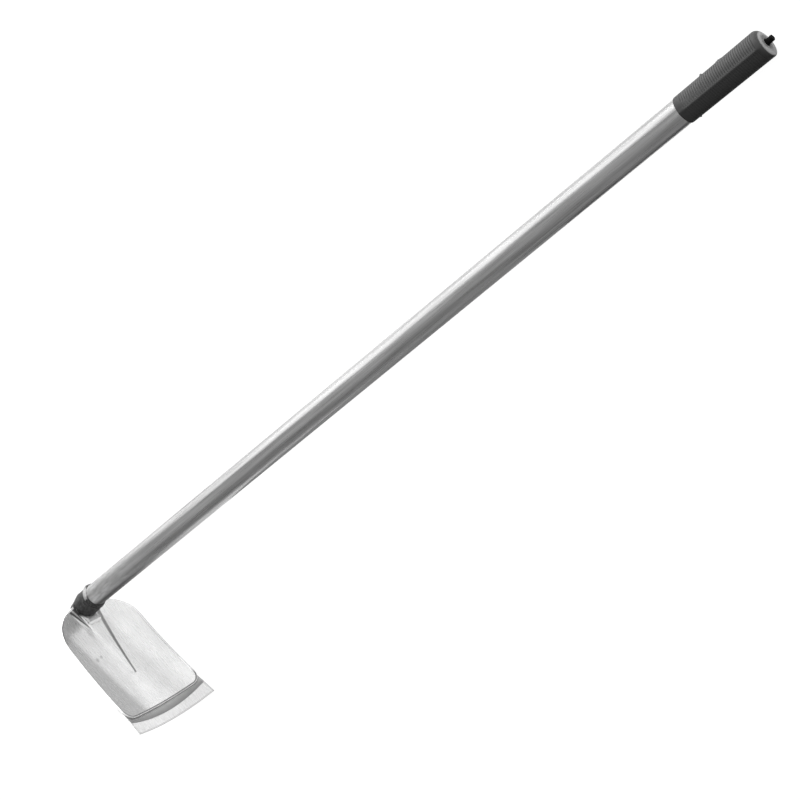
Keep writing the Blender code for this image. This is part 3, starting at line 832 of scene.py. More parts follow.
plugSizes = {
    "depth": 0.020,
    "stub": 0.0080,
    "reach": 0.0079,
    "fillet": (0.001, 0.0005),  # between the body's end and the stub, outwards and upwards
    "middleRing": 0.0001,
    "stubRings": 12,
    "rounding": 0.0005,
    "aside": 0.0008,  # the hole and the stub sit this far off the middle, forwards
    "ragged": 0.0008,
    "lumpSize": 0.0032,
    "fineLumpSize": 0.0015,
    "around": 64,
}
gripStart = (tubeSizes["start"] + tubeSizes["length"] + stripSizes["seatGap"]
             + gripSizes["endWall"] - gripSizes["length"])

def gripRadius(distance):
    s = gripSizes
    wall = s["wallLow"] + (s["wallHigh"] - s["wallLow"]) * distance / s["length"]
    return tubeSizes["diameter"] / 2 + s["gap"] + wall

def makeGrip(material):
    s = gripSizes
    bore = tubeSizes["diameter"] / 2 + s["gap"]
    hole = plugSizes["stub"] / 2 + s["gap"]
    count = int((s["length"] - s["cuff"] - s["crown"]) / s["ribPitch"])
    ribStart = s["cuff"] + (s["length"] - s["cuff"] - s["crown"] - count * s["ribPitch"]) / 2
    profile = [(bore, s["length"] - s["endWall"]), (bore, 0.0)]
    depth = [0.0, 0.0]
    profile += lowCorner(gripRadius(0.0), 0.0, s["wallLow"] / 2, (0, 30, 60, 90))
    depth += [0.0] * (len(profile) - len(depth))
    groove = (s["ribPitch"] - s["ribLand"]) / 2
    for distance in np.linspace(s["cuffFrom"], ribStart - groove - s["cuffShort"],
                                s["cuffRings"]):
        profile.append((gripRadius(distance), distance))
        depth.append(0.0)
    shape = s["grooveShape"]
    for i in range(count + 1):
        low = ribStart + i * s["ribPitch"]
        marks = [(-place * groove, deep) for place, deep in reversed(shape)]
        marks += [(place * groove, deep) for place, deep in shape[1:]]
        for offset, deep in marks:
            profile.append((gripRadius(low + offset), low + offset))
            depth.append(deep * s["ribDepth"])
    first = len(profile)
    profile += highCorner(gripRadius(s["length"]), s["length"], s["rounding"], s["endTurns"])
    depth += [0.0] * len(s["endTurns"])
    for share in s["endShares"]:
        top = gripRadius(s["length"]) - s["rounding"]
        profile.append((top + (hole - top) * share, s["length"]))
        depth.append(0.0)
    profile += [(hole + s["holeBevel"], s["length"]), (hole, s["length"] - s["holeBevel"]),
                (hole, s["length"] - s["endWall"])]
    depth += [0.0, 0.0, 0.0]
    profile = [(radius, gripStart + distance) for radius, distance in profile]
    around = s["around"]
    turns = np.linspace(0.0, 360.0, around, endpoint=False)
    away = np.abs((turns - s["partingTurn"] + 90) % 180 - 90)  # degrees from a mould line
    bare, toFull = s["partingLine"]
    keep = smoothStep((away - bare) / toFull)
    wobble = -np.array(depth)[:, None] * keep[None, :]
    # the two halves of the mould met with a low roof, and left nubs of flash
    steep, slow = s["roofSlopes"]
    roof = smoothStep(away / steep) * (1.0 - smoothStep((away - steep) / slow))
    distances = np.array(profile)[:, 1] - gripStart
    end, fade = s["reliefEnd"]
    body = smoothStep((s["length"] - end - distances) / fade) * (np.array(profile)[:, 0] > bore)
    wobble = wobble - s["roof"] * roof[None, :] * body[:, None]
    for turn, distance, long, high in s["nubs"]:
        aside = ((turns - turn + 180) % 360 - 180) / 360 * 2 * math.pi * gripRadius(distance)
        wobble = wobble + (high * np.exp(-(aside[None, :] / s["nubHalfWidth"]) ** 2
                                         - ((distances[:, None] - distance) / long) ** 2)
                           * body[:, None])
    # the closed end is rounded more at the back than at the front, and its hole sits aside
    tilt = np.cos(np.radians(turns - s["frontTurn"]))
    across = s["rounding"] * tilt * np.where(tilt > 0, *s["roundingAcross"])
    along = s["rounding"] * tilt * np.where(tilt > 0, *s["roundingAlong"])
    lower = np.zeros_like(wobble)
    aside = np.zeros(len(profile))
    for i, degrees in enumerate(s["endTurns"]):
        turn = math.radians(degrees)
        wobble[first + i] += across * (1 - math.cos(turn))
        lower[first + i] = along * (1 - math.sin(turn))
    flat = first + len(s["endTurns"])
    for i, share in enumerate(s["endShares"]):
        wobble[flat + i] += across * (1 - share)
        aside[flat + i] = plugSizes["aside"] * share
    aside[flat + len(s["endShares"]):] = plugSizes["aside"]
    points = turnedPoints(profile, around, wobble)
    points = points + lower[..., None] * handleLine + aside[:, None, None] * handleFront
    faces = sleeveFaces(len(profile), around)
    piece = makePiece("rubberGrip", points, faces, material, sharpAngle=70)
    keepMask(piece, "inGroove", np.array(depth)[:, None] / s["ribDepth"] * keep[None, :])
    finishPiece(piece, "rubber_grip")

def makePlug(material):
    s = plugSizes
    base = tubeSizes["start"] + tubeSizes["length"]
    body = tubeSizes["diameter"] / 2 - tubeSizes["wall"] - neckSizes["pressGap"]
    stub = s["stub"] / 2
    top = gripSizes["endWall"] + stripSizes["seatGap"] + s["reach"]
    soft = s["rounding"]
    profile = [(s["middleRing"], -s["depth"])]
    profile += lowCorner(body, -s["depth"], soft, (0, 45, 90))
    profile += [(body, -s["depth"] / 2), (body, 0.0)]
    stubStart = len(profile)
    outwards, upwards = s["fillet"]
    profile += [(stub + outwards, 0.0), (stub, upwards)]
    for share in np.linspace(0.1, 1.0, s["stubRings"]):
        profile.append((stub, (top - soft) * share))
    profile += highCorner(stub, top, soft, (22, 45, 67, 90))
    profile += [(stub * 0.55, top), (stub * 0.3, top), (s["middleRing"], top)]
    profile = [(radius, base + distance) for radius, distance in profile]
    around = s["around"]
    points = turnedPoints(profile, around)
    stubRows = np.arange(len(profile)) >= stubStart
    points = points + (stubRows * s["aside"])[:, None, None] * handleFront
    # torn and pitted where it was cut from its runner
    middle = np.array(profile)[:, 1][:, None, None] * handleLine + s["aside"] * handleFront
    torn = (lumps(points, s["lumpSize"], 6.4) + lumps(points, s["fineLumpSize"], 2.9)) / 2 - 1.0
    shown = stubRows * (np.array(profile)[:, 0] > stub * 0.5)
    points = points + (unit(points - middle) * (torn * s["ragged"] * shown[:, None])[..., None])
    faces = rodFaces(len(profile), around)
    piece = makePiece("endPlug", points, faces, material)
    finishPiece(piece, "end_plug")

edgeFinish = {
    "rim": "#e6e6e6",
}

def paintedEdgeLines(tree, base, rim, lines):
    # painted highlight and painted shade: thin light and dark lines that run round a sheared edge:
    # each line is (from, to, colour, share), the first two as the distance in from the rim in
    # metres, the last a mask or nothing
    away = addNode(tree, "Attribute", {"attribute_name": "fromRim"}).outputs["Fac"]
    soft = 0.00025
    for low, high, colour, share in lines:
        rise = addNode(tree, "MapRange", softly, span(low - soft, low + soft), {"Value": away})
        fall = addNode(tree, "MapRange", softly, span(high - soft, high + soft, 1.0, 0.0),
                       {"Value": away})
        inside = addNode(tree, "Math", times, links={0: rise.outputs[0], 1: fall.outputs[0]})
        if share:
            inside = addNode(tree, "Math", times, links={0: inside.outputs[0], 1: share})
        base = addNode(tree, "Mix", ofColours, {7: linear(colour)},
                       {0: inside.outputs[0], 6: base}).outputs[2]
    return addNode(tree, "Mix", ofColours, {7: linear(edgeFinish["rim"])},
                   {0: rim, 6: base}).outputs[2]

sheetFinish = {
    "cloudDark": "#dadada",
    "cloudLight": "#f4f4f4",
    # a painted reflection: the darker band along the raised side
    "darkReflectionBand": "#b0b0b0",
    "knock": "#8a8a8a",
    # painted shade on the rib's lower wall
    "ribWallShade": "#444444",
    # a painted reflection of the dark neck on the rib's upper wall
    "scorchAndDarkReflection": "#282828",
    # a painted highlight along the rib's crest beside the neck
    "crest": "#ffffff",
    # dull knocks, each with its place down and across the blade and its width
    "knocks": ((0.0192, -0.0270, 0.0018), (0.0780, -0.0383, 0.0040), (0.0760, -0.0283, 0.0028)),
}

def polishedSheetSteel():
    # carbon steel sheet, pressed and polished: a bright, slightly cloudy mirror with fine
    # scratches down the blade, a few dull knocks, and a sheared rim that scatters light
    material, tree, shader = newMaterial("polishedSheetSteel", 1.0, 0.24)
    place = addNode(tree, "Attribute", {"attribute_name": "onHoe"}).outputs["Vector"]
    rim = addNode(tree, "Attribute", {"attribute_name": "onRim"}).outputs["Fac"]
    # clouds 25 mm across from the polishing mop
    cloud = addNode(tree, "TexNoise", values={"Scale": 1 / 0.025, "Detail": 3.0},
                    links={"Vector": place})
    shade = addNode(tree, "Mix", ofColours,
                    {6: linear(sheetFinish["cloudDark"]), 7: linear(sheetFinish["cloudLight"])},
                    {0: cloud.outputs[0]})
    # painted reflection: the raised side is given a darker band, standing for the dark
    # surroundings that it reflects
    side = addNode(tree, "Attribute", {"attribute_name": "onDarkReflectionBand"}).outputs["Fac"]
    shade = addNode(tree, "Mix", ofColours, {7: linear(sheetFinish["darkReflectionBand"])},
                    {0: side, 6: shade.outputs[2]})
    # scratches 0.7 mm apart and 40 mm long; the real ones are finer than the render shows
    stretched = addNode(tree, "VectorMath", times, {1: (1 / 0.04, 1 / 0.0007, 1 / 0.04)},
                        {0: place})
    scratch = addNode(tree, "TexNoise", values={"Scale": 1.0, "Detail": 4.0},
                      links={"Vector": stretched.outputs[0]})
    # grain of 1.5 mm, pressed into the sheet
    grain = addNode(tree, "TexNoise", values={"Scale": 1 / 0.0015, "Detail": 4.0},
                    links={"Vector": place})
    # dull knocks with ragged edges
    dull = None
    for spotX, spotY, width in sheetFinish["knocks"]:
        away = addNode(tree, "VectorMath", {"operation": "DISTANCE"},
                       {1: (spotX, spotY, float(faceHeight(np.array(spotX), np.array(spotY))))},
                       {0: place})
        ragged = addNode(tree, "Math", timesPlus, {1: width * 1.6, 2: -width * 0.8},
                         {0: grain.outputs[0]})
        reach = addNode(tree, "Math", plus, links={0: away.outputs["Value"], 1: ragged.outputs[0]})
        spot = addNode(tree, "MapRange", softly, span(width * 0.3, width, 1.0, 0.0),
                       {"Value": reach.outputs[0]})
        if dull is None:
            dull = spot.outputs[0]
        else:
            dull = addNode(tree, "Math", largest, links={0: dull, 1: spot.outputs[0]}).outputs[0]
    knocked = addNode(tree, "Math", times, {1: 0.62}, {0: dull})
    marked = addNode(tree, "Mix", ofColours, {7: linear(sheetFinish["knock"])},
                     {0: knocked.outputs[0], 6: shade.outputs[2]})
    # painted shade: the rib's lower wall is darkened, standing for the dark that it reflects
    wall = addNode(tree, "Attribute", {"attribute_name": "onWallShade"}).outputs["Fac"]
    wallShadeShare = addNode(tree, "Math", times, {1: 0.7}, {0: wall})
    walled = addNode(tree, "Mix", ofColours, {7: linear(sheetFinish["ribWallShade"])},
                     {0: wallShadeShare.outputs[0], 6: marked.outputs[2]})
    # painted reflection and painted highlight beside the neck: dark bands on the rib's upper wall,
    # and a white line on its crest
    neckReflection = addNode(tree, "Attribute", {"attribute_name": "onNeckReflection"}).outputs["Fac"]
    neckReflectionShare = addNode(tree, "Math", times, {1: 0.95}, {0: neckReflection})
    scorchedAndReflected = addNode(tree, "Mix", ofColours, {7: linear(sheetFinish["scorchAndDarkReflection"])},
                       {0: neckReflectionShare.outputs[0], 6: walled.outputs[2]})
    crest = addNode(tree, "Attribute", {"attribute_name": "onCrestHighlight"}).outputs["Fac"]
    highlighted = addNode(tree, "Mix", ofColours, {7: linear(sheetFinish["crest"])},
                     {0: crest, 6: scorchedAndReflected.outputs[2]})
    # painted highlight and painted shade along the rim: the front and upper edges get a dark line
    # inside a light one, the others the reverse
    near = addNode(tree, "Attribute", {"attribute_name": "onNearEdge"}).outputs["Fac"]
    far = addNode(tree, "Math", {"operation": "SUBTRACT"}, {0: 1.0}, {1: near}).outputs[0]
    edged = paintedEdgeLines(tree, highlighted.outputs[2], rim,
                      ((-0.001, 0.0006, "#8c8c8c", far), (0.0006, 0.0016, "#ffffff", far),
                       (-0.001, 0.0004, "#d0d0d0", near), (0.0005, 0.0020, "#6c6c6c", near)))
    tree.links.new(edged, shader.inputs["Base Color"])
    rough = addNode(tree, "MapRange", values=span(0.35, 0.65, 0.26, 0.30),
                    links={"Value": scratch.outputs[0]})
    rougher = addNode(tree, "Mix", ofNumbers, {3: 0.6}, {0: rim, 2: rough.outputs[0]})
    tree.links.new(rougher.outputs[0], shader.inputs["Roughness"])
    # the fine scratches scatter about a quarter of the light
    matt = addNode(tree, "Math", largest, links={0: rim, 1: crest})
    metal = addNode(tree, "MapRange", values=span(0.0, 1.0, 0.74, 0.2),
                    links={"Value": matt.outputs[0]})
    tree.links.new(metal.outputs[0], shader.inputs["Metallic"])
    relief = addNode(tree, "Math", plus, links={0: scratch.outputs[0], 1: grain.outputs[0]})
    bump = addNode(tree, "Bump", values={"Strength": 0.03, "Distance": 0.00002},
                   links={"Height": relief.outputs[0]})
    tree.links.new(bump.outputs[0], shader.inputs["Normal"])
    return material

stripFinish = {
    "scaleDark": "#aaaaaa",
    "scaleLight": "#d0d0d0",
    "groundDark": "#e0e0e0",
    "groundLight": "#fafafa",
    "darkByBevel": "#828282",
}

def hardenedStripSteel():
    # hardened strip steel: grey scale left by the furnace, and a bevel ground bright across
    # its width, so the edge shows short lines square to it
    material, tree, shader = newMaterial("hardenedStripSteel", 1.0, 0.32)
    place = addNode(tree, "Attribute", {"attribute_name": "onHoe"}).outputs["Vector"]
    rim = addNode(tree, "Attribute", {"attribute_name": "onRim"}).outputs["Fac"]
    bevel = addNode(tree, "Attribute", {"attribute_name": "onBevel"}).outputs["Fac"]
    # scale in clouds 12 mm across
    cloud = addNode(tree, "TexNoise", values={"Scale": 1 / 0.012, "Detail": 5.0},
                    links={"Vector": place})
    scale = addNode(tree, "Mix", ofColours,
                    {6: linear(stripFinish["scaleDark"]), 7: linear(stripFinish["scaleLight"])},
                    {0: cloud.outputs[0]})
    # grinding lines 1.1 mm apart and 9 mm long, coarser than the real grit so that they show
    stretched = addNode(tree, "VectorMath", times, {1: (1 / 0.009, 1 / 0.0011, 1 / 0.009)},
                        {0: place})
    line = addNode(tree, "TexNoise", values={"Scale": 1.0, "Detail": 4.0},
                   links={"Vector": stretched.outputs[0]})
    lineShade = addNode(tree, "MapRange", values=span(0.3, 0.7), links={"Value": line.outputs[0]})
    bright = addNode(tree, "Mix", ofColours,
                     {6: linear(stripFinish["groundDark"]), 7: linear(stripFinish["groundLight"])},
                     {0: lineShade.outputs[0]})
    # darker towards the bevel
    beside = addNode(tree, "Attribute", {"attribute_name": "byBevel"}).outputs["Fac"]
    byBevelShare = addNode(tree, "Math", times, {1: 0.85}, {0: beside})
    scale = addNode(tree, "Mix", ofColours, {7: linear(stripFinish["darkByBevel"])},
                    {0: byBevelShare.outputs[0], 6: scale.outputs[2]})
    face = addNode(tree, "Mix", ofColours,
                   links={0: bevel, 6: scale.outputs[2], 7: bright.outputs[2]})
    # painted light and shade: two grey lines round the strip's rim
    edged = paintedEdgeLines(tree, face.outputs[2], rim,
                      ((-0.001, 0.0005, "#a4a4a4", None), (0.0013, 0.0019, "#bcbcbc", None)))
    tree.links.new(edged, shader.inputs["Base Color"])
    rough = addNode(tree, "Mix", ofNumbers, {2: 0.42, 3: 0.26}, {0: bevel})
    rougher = addNode(tree, "Mix", ofNumbers, {3: 0.6}, {0: rim, 2: rough.outputs[0]})
    tree.links.new(rougher.outputs[0], shader.inputs["Roughness"])
    metal = addNode(tree, "MapRange", values=span(0.0, 1.0, 0.85, 0.3), links={"Value": rim})
    tree.links.new(metal.outputs[0], shader.inputs["Metallic"])
    depth = addNode(tree, "Math", times, links={0: line.outputs[0], 1: bevel})
    relief = addNode(tree, "Math", plus, links={0: depth.outputs[0], 1: cloud.outputs[0]})
    bump = addNode(tree, "Bump", values={"Strength": 0.4, "Distance": 0.00004},
                   links={"Height": relief.outputs[0]})
    tree.links.new(bump.outputs[0], shader.inputs["Normal"])
    return material

tubeFinish = {
    "brushedDark": "#b4b4b4",
    "brushedLight": "#e0e0e0",
    "mottledDark": "#b4b4b4",
    "mottledLight": "#dedede",
    "paintedShade": "#404040",
}

def brushedTubeSteel():
    # welded steel tube, belt brushed along its length: soft grey with long fine streaks that
    # spread each highlight, a little heat colour by the neck, and painted shade on its side
    # towards the blade there
    material, tree, shader = newMaterial("brushedTubeSteel", 1.0, 0.3)
    place = addNode(tree, "Attribute", {"attribute_name": "onHandle"}).outputs["Vector"]
    # streaks 1.3 mm apart and 70 mm long; the belt's own lines are finer than the render shows
    stretched = addNode(tree, "VectorMath", times, {1: (1 / 0.0013, 1 / 0.0013, 1 / 0.07)},
                        {0: place})
    streak = addNode(tree, "TexNoise", values={"Scale": 1.0, "Detail": 5.0},
                     links={"Vector": stretched.outputs[0]})
    # broad bands 5 mm wide where the belt pressed harder
    broadPlace = addNode(tree, "VectorMath", times, {1: (1 / 0.005, 1 / 0.005, 1 / 0.16)},
                         {0: place})
    broad = addNode(tree, "TexNoise", values={"Scale": 1.0, "Detail": 3.0},
                    links={"Vector": broadPlace.outputs[0]})
    both = addNode(tree, "Math", timesPlus, {1: 0.6}, {0: streak.outputs[0], 2: broad.outputs[0]})
    level = addNode(tree, "MapRange", values=span(0.55, 1.05), links={"Value": both.outputs[0]})
    shade = addNode(tree, "Mix", ofColours,
                    {6: linear(tubeFinish["brushedDark"]), 7: linear(tubeFinish["brushedLight"])},
                    {0: level.outputs[0]})
    # heat from the weld left the first 150 mm dull and mottled; below, on the side towards the
    # blade, painted shade darkens it
    parts = addNode(tree, "SeparateXYZ", links={0: place})
    near = addNode(tree, "MapRange", softly, span(0.04, 0.20, 0.8, 0.0),
                   {"Value": parts.outputs["Z"]})
    # the mottling is 3 mm across and drawn out to 14 mm by the belt
    drawnOut = addNode(tree, "VectorMath", times, {1: (1 / 0.003, 1 / 0.003, 1 / 0.014)},
                       {0: place})
    mottle = addNode(tree, "TexNoise", values={"Scale": 1.0, "Detail": 4.0},
                     links={"Vector": drawnOut.outputs[0]})
    spots = addNode(tree, "MapRange", {}, span(0.34, 0.66), {"Value": mottle.outputs[0]})
    dull = addNode(tree, "Mix", ofColours,
                   {6: linear(tubeFinish["mottledDark"]), 7: linear(tubeFinish["mottledLight"])},
                   {0: spots.outputs[0]})
    shade = addNode(tree, "Mix", ofColours,
                    links={0: near.outputs[0], 6: shade.outputs[2], 7: dull.outputs[2]})
    below = addNode(tree, "MapRange", softly, span(0.0085, 0.0135), {"Value": parts.outputs["X"]})
    paintedShade = addNode(tree, "MapRange", softly, span(0.08, 0.30, 0.85, 0.0),
                    {"Value": parts.outputs["Z"]})
    darkened = addNode(tree, "Math", times, links={0: paintedShade.outputs[0], 1: below.outputs[0]})
    shade = addNode(tree, "Mix", ofColours, {7: linear(tubeFinish["paintedShade"])},
                    {0: darkened.outputs[0], 6: shade.outputs[2]})
    tree.links.new(shade.outputs[2], shader.inputs["Base Color"])
    rough = addNode(tree, "MapRange", values=span(0.3, 0.7, 0.24, 0.38),
                    links={"Value": streak.outputs[0]})
    rougher = addNode(tree, "Mix", ofNumbers, {3: 0.55}, {0: near.outputs[0], 2: rough.outputs[0]})
    tree.links.new(rougher.outputs[0], shader.inputs["Roughness"])
    bump = addNode(tree, "Bump", values={"Strength": 0.35, "Distance": 0.00004},
                   links={"Height": streak.outputs[0]})
    tree.links.new(bump.outputs[0], shader.inputs["Normal"])
    return material

neckFinish = {
    "scaleDark": "#1a1a1a",
    "scaleLight": "#484848",
}

def blackenedNeckIron():
    # forged iron, black from the welding heat: matt scale with paler rubbed high spots
    material, tree, shader = newMaterial("blackenedNeckIron", 0.35, 0.55)
    place = addNode(tree, "Attribute", {"attribute_name": "onHoe"}).outputs["Vector"]
    # scale flakes 2.5 mm across
    flake = addNode(tree, "TexNoise", values={"Scale": 1 / 0.0025, "Detail": 6.0},
                    links={"Vector": place})
    level = addNode(tree, "MapRange", values=span(0.35, 0.7), links={"Value": flake.outputs[0]})
    shade = addNode(tree, "Mix", ofColours,
                    {6: linear(neckFinish["scaleDark"]), 7: linear(neckFinish["scaleLight"])},
                    {0: level.outputs[0]})
    tree.links.new(shade.outputs[2], shader.inputs["Base Color"])
    rough = addNode(tree, "MapRange", values=span(0.0, 1.0, 0.42, 0.72),
                    links={"Value": flake.outputs[0]})
    tree.links.new(rough.outputs[0], shader.inputs["Roughness"])
    bump = addNode(tree, "Bump", values={"Strength": 0.9, "Distance": 0.0007},
                   links={"Height": flake.outputs[0]})
    tree.links.new(bump.outputs[0], shader.inputs["Normal"])
    return material

weldFinish = {
    "silverDark": "#a8a8a8",
    "silverLight": "#d0d0d0",
    "toeHighlight": "#ffffff",
    "scorchAndDarkReflection": "#404040",
}

def weldBeadSteel():
    # bead of steel weld, left as it cooled: silver grey with dark slag specks, scorched round the
    # sides of the neck, with a painted highlight along its toe
    material, tree, shader = newMaterial("weldBeadSteel", 0.7, 0.45)
    place = addNode(tree, "Attribute", {"attribute_name": "onHoe"}).outputs["Vector"]
    # specks 1.6 mm across
    speck = addNode(tree, "TexNoise", values={"Scale": 1 / 0.0016, "Detail": 5.0},
                    links={"Vector": place})
    level = addNode(tree, "MapRange", values=span(0.38, 0.6), links={"Value": speck.outputs[0]})
    shade = addNode(tree, "Mix", ofColours,
                    {6: linear(weldFinish["silverDark"]), 7: linear(weldFinish["silverLight"])},
                    {0: level.outputs[0]})
    parts = addNode(tree, "SeparateXYZ", links={0: place})
    # painted highlight along its toe
    toe = addNode(tree, "MapRange", softly, span(0.0275, 0.0295), {"Value": parts.outputs["X"]})
    toeEnd = addNode(tree, "MapRange", softly, span(0.0318, 0.034, 1.0, 0.0),
                     {"Value": parts.outputs["X"]})
    toeLine = addNode(tree, "Math", times, links={0: toe.outputs[0], 1: toeEnd.outputs[0]})
    shade = addNode(tree, "Mix", ofColours, {7: linear(weldFinish["toeHighlight"])},
                    {0: toeLine.outputs[0], 6: shade.outputs[2]})
    across = addNode(tree, "Math", {"operation": "ABSOLUTE"}, links={0: parts.outputs["Y"]})
    aside = addNode(tree, "MapRange", softly, span(0.0125, 0.0145), {"Value": across.outputs[0]})
    onNeck = addNode(tree, "MapRange", softly, span(0.04, 0.06, 1.0, 0.0),
                     {"Value": parts.outputs["X"]})
    scorchedAndReflected = addNode(tree, "Math", times, links={0: aside.outputs[0], 1: onNeck.outputs[0]})
    shade = addNode(tree, "Mix", ofColours, {7: linear(weldFinish["scorchAndDarkReflection"])},
                    {0: scorchedAndReflected.outputs[0], 6: shade.outputs[2]})
    tree.links.new(shade.outputs[2], shader.inputs["Base Color"])
    bump = addNode(tree, "Bump", values={"Strength": 0.6, "Distance": 0.0002},
                   links={"Height": speck.outputs[0]})
    tree.links.new(bump.outputs[0], shader.inputs["Normal"])
    return material

scorchedWeldFinish = {
    "scorchDark": "#262626",
    "scorchLight": "#505050",
    "litBackHighlight": "#989898",
}

def scorchedWeldSteel():
    # the same bead round the tube, scorched nearly black, with a painted highlight on its back
    # where it faces the light
    material, tree, shader = newMaterial("scorchedWeldSteel", 0.6, 0.45)
    place = addNode(tree, "Attribute", {"attribute_name": "onHandle"}).outputs["Vector"]
    speck = addNode(tree, "TexNoise", values={"Scale": 1 / 0.0016, "Detail": 5.0},
                    links={"Vector": place})
    # painted highlight: it faces away from the blade and upwards, towards the light
    facing = addNode(tree, "VectorMath", {"operation": "DOT_PRODUCT"}, {1: (-0.55, -0.83, 0.0)},
                     {0: place})
    ragged = addNode(tree, "Math", timesPlus, {1: 0.006},
                     {0: speck.outputs[0], 2: facing.outputs["Value"]})
    highlighted = addNode(tree, "MapRange", softly, span(0.0166, 0.0182), {"Value": ragged.outputs[0]})
    level = addNode(tree, "MapRange", values=span(0.38, 0.62), links={"Value": speck.outputs[0]})
    scorchAndDarkReflection = addNode(tree, "Mix", ofColours,
                     {6: linear(scorchedWeldFinish["scorchDark"]),
                      7: linear(scorchedWeldFinish["scorchLight"])},
                     {0: level.outputs[0]})
    shade = addNode(tree, "Mix", ofColours, {7: linear(scorchedWeldFinish["litBackHighlight"])},
                    {0: highlighted.outputs[0], 6: scorchAndDarkReflection.outputs[2]})
    tree.links.new(shade.outputs[2], shader.inputs["Base Color"])
    bump = addNode(tree, "Bump", values={"Strength": 0.6, "Distance": 0.0002},
                   links={"Height": speck.outputs[0]})
    tree.links.new(bump.outputs[0], shader.inputs["Normal"])
    return material

gripFinish = {
    "shadedSideDark": "#202020",
    "shadedSideLight": "#282828",
    "litSideDark": "#363636",
    "litSideLight": "#444444",
    # painted shade in the grooves on the lit side
    "groove": "#262626",
    "endMiddle": "#787878",
    "endRim": "#a0a0a0",
}

def mouldedGripRubber():
    # nitrile rubber, moulded: dark grey with a dull sheen; painted light makes the side towards
    # the light and the closed end lighter, with painted shade in the grooves
    material, tree, shader = newMaterial("mouldedGripRubber", 0.0, 0.58)
    place = addNode(tree, "Attribute", {"attribute_name": "onHandle"}).outputs["Vector"]
    # mottling 7 mm across, and a moulded grain of 0.8 mm
    mottle = addNode(tree, "TexNoise", values={"Scale": 1 / 0.007, "Detail": 4.0},
                     links={"Vector": place})
    grain = addNode(tree, "TexNoise", values={"Scale": 1 / 0.0008, "Detail": 3.0},
                    links={"Vector": place})
    parts = addNode(tree, "SeparateXYZ", links={0: place})
    groove = addNode(tree, "Attribute", {"attribute_name": "inGroove"}).outputs["Fac"]
    shadedSide = addNode(tree, "Mix", ofColours,
                     {6: linear(gripFinish["shadedSideDark"]), 7: linear(gripFinish["shadedSideLight"])},
                     {0: mottle.outputs[0]})
    litSide = addNode(tree, "Mix", ofColours,
                     {6: linear(gripFinish["litSideDark"]), 7: linear(gripFinish["litSideLight"])},
                     {0: mottle.outputs[0]})
    ribbed = addNode(tree, "Mix", ofColours, {7: linear(gripFinish["groove"])},
                     {0: groove, 6: litSide.outputs[2]})
    # painted light: the half that faces the light gets a lighter copy of the rubber, with painted
    # shade in its grooves
    facing = addNode(tree, "VectorMath", {"operation": "DOT_PRODUCT"}, {1: (-0.985, -0.174, 0.0)},
                     {0: place})
    lit = addNode(tree, "MapRange", softly, span(-0.0015, 0.0015),
                  {"Value": facing.outputs["Value"]})
    # it is weaker on the cuff and towards the closed end
    gripTop = gripStart + gripSizes["length"]
    low = addNode(tree, "MapRange", softly, span(gripStart + 0.004, gripStart + 0.013, 0.35),
                  {"Value": parts.outputs["Z"]})
    high = addNode(tree, "MapRange", softly, span(gripTop - 0.011, gripTop - 0.004, 1.0, 0.5),
                   {"Value": parts.outputs["Z"]})
    between = addNode(tree, "Math", times, links={0: low.outputs[0], 1: high.outputs[0]})
    litShare = addNode(tree, "Math", times, links={0: between.outputs[0], 1: lit.outputs[0]})
    shade = addNode(tree, "Mix", ofColours,
                    links={0: litShare.outputs[0], 6: shadedSide.outputs[2], 7: ribbed.outputs[2]})
    # painted light: the closed end's face is lighter, most at its rim, for the light that falls on
    # it
    closed = addNode(tree, "MapRange", softly, span(gripTop - 0.0011, gripTop - 0.0002),
                     {"Value": parts.outputs["Z"]})
    flat = addNode(tree, "VectorMath", times, {1: (1.0, 1.0, 0.0)}, {0: place})
    out = addNode(tree, "VectorMath", {"operation": "LENGTH"}, links={0: flat.outputs[0]})
    ring = addNode(tree, "MapRange", softly, span(0.0065, 0.0100), {"Value": out.outputs["Value"]})
    endShade = addNode(tree, "Mix", ofColours,
                       {6: linear(gripFinish["endMiddle"]), 7: linear(gripFinish["endRim"])},
                       {0: ring.outputs[0]})
    ended = addNode(tree, "Mix", ofColours,
                    links={0: closed.outputs[0], 6: shade.outputs[2], 7: endShade.outputs[2]})
    tree.links.new(ended.outputs[2], shader.inputs["Base Color"])
    rough = addNode(tree, "MapRange", values=span(0.0, 1.0, 0.48, 0.68),
                    links={"Value": mottle.outputs[0]})
    tree.links.new(rough.outputs[0], shader.inputs["Roughness"])
    bump = addNode(tree, "Bump", values={"Strength": 0.4, "Distance": 0.00008},
                   links={"Height": grain.outputs[0]})
    tree.links.new(bump.outputs[0], shader.inputs["Normal"])
    return material

plugFinish = {
    "pitDark": "#040404",
    "pitLight": "#121212",
}

def mouldedPlugPlastic():
    # recycled polyethylene, moulded: near black and rough, with torn gate marks
    material, tree, shader = newMaterial("mouldedPlugPlastic", 0.0, 0.8)
    shader.inputs["Specular IOR Level"].default_value = 0.12
    place = addNode(tree, "Attribute", {"attribute_name": "onHandle"}).outputs["Vector"]
    # pits 1.2 mm across
    pit = addNode(tree, "TexNoise", values={"Scale": 1 / 0.0012, "Detail": 5.0},
                  links={"Vector": place})
    shade = addNode(tree, "Mix", ofColours,
                    {6: linear(plugFinish["pitDark"]), 7: linear(plugFinish["pitLight"])},
                    {0: pit.outputs[0]})
    tree.links.new(shade.outputs[2], shader.inputs["Base Color"])
    bump = addNode(tree, "Bump", values={"Strength": 0.8, "Distance": 0.0003},
                   links={"Height": pit.outputs[0]})
    tree.links.new(bump.outputs[0], shader.inputs["Normal"])
    return material

blackenedIron = blackenedNeckIron()
weldBead = weldBeadSteel()

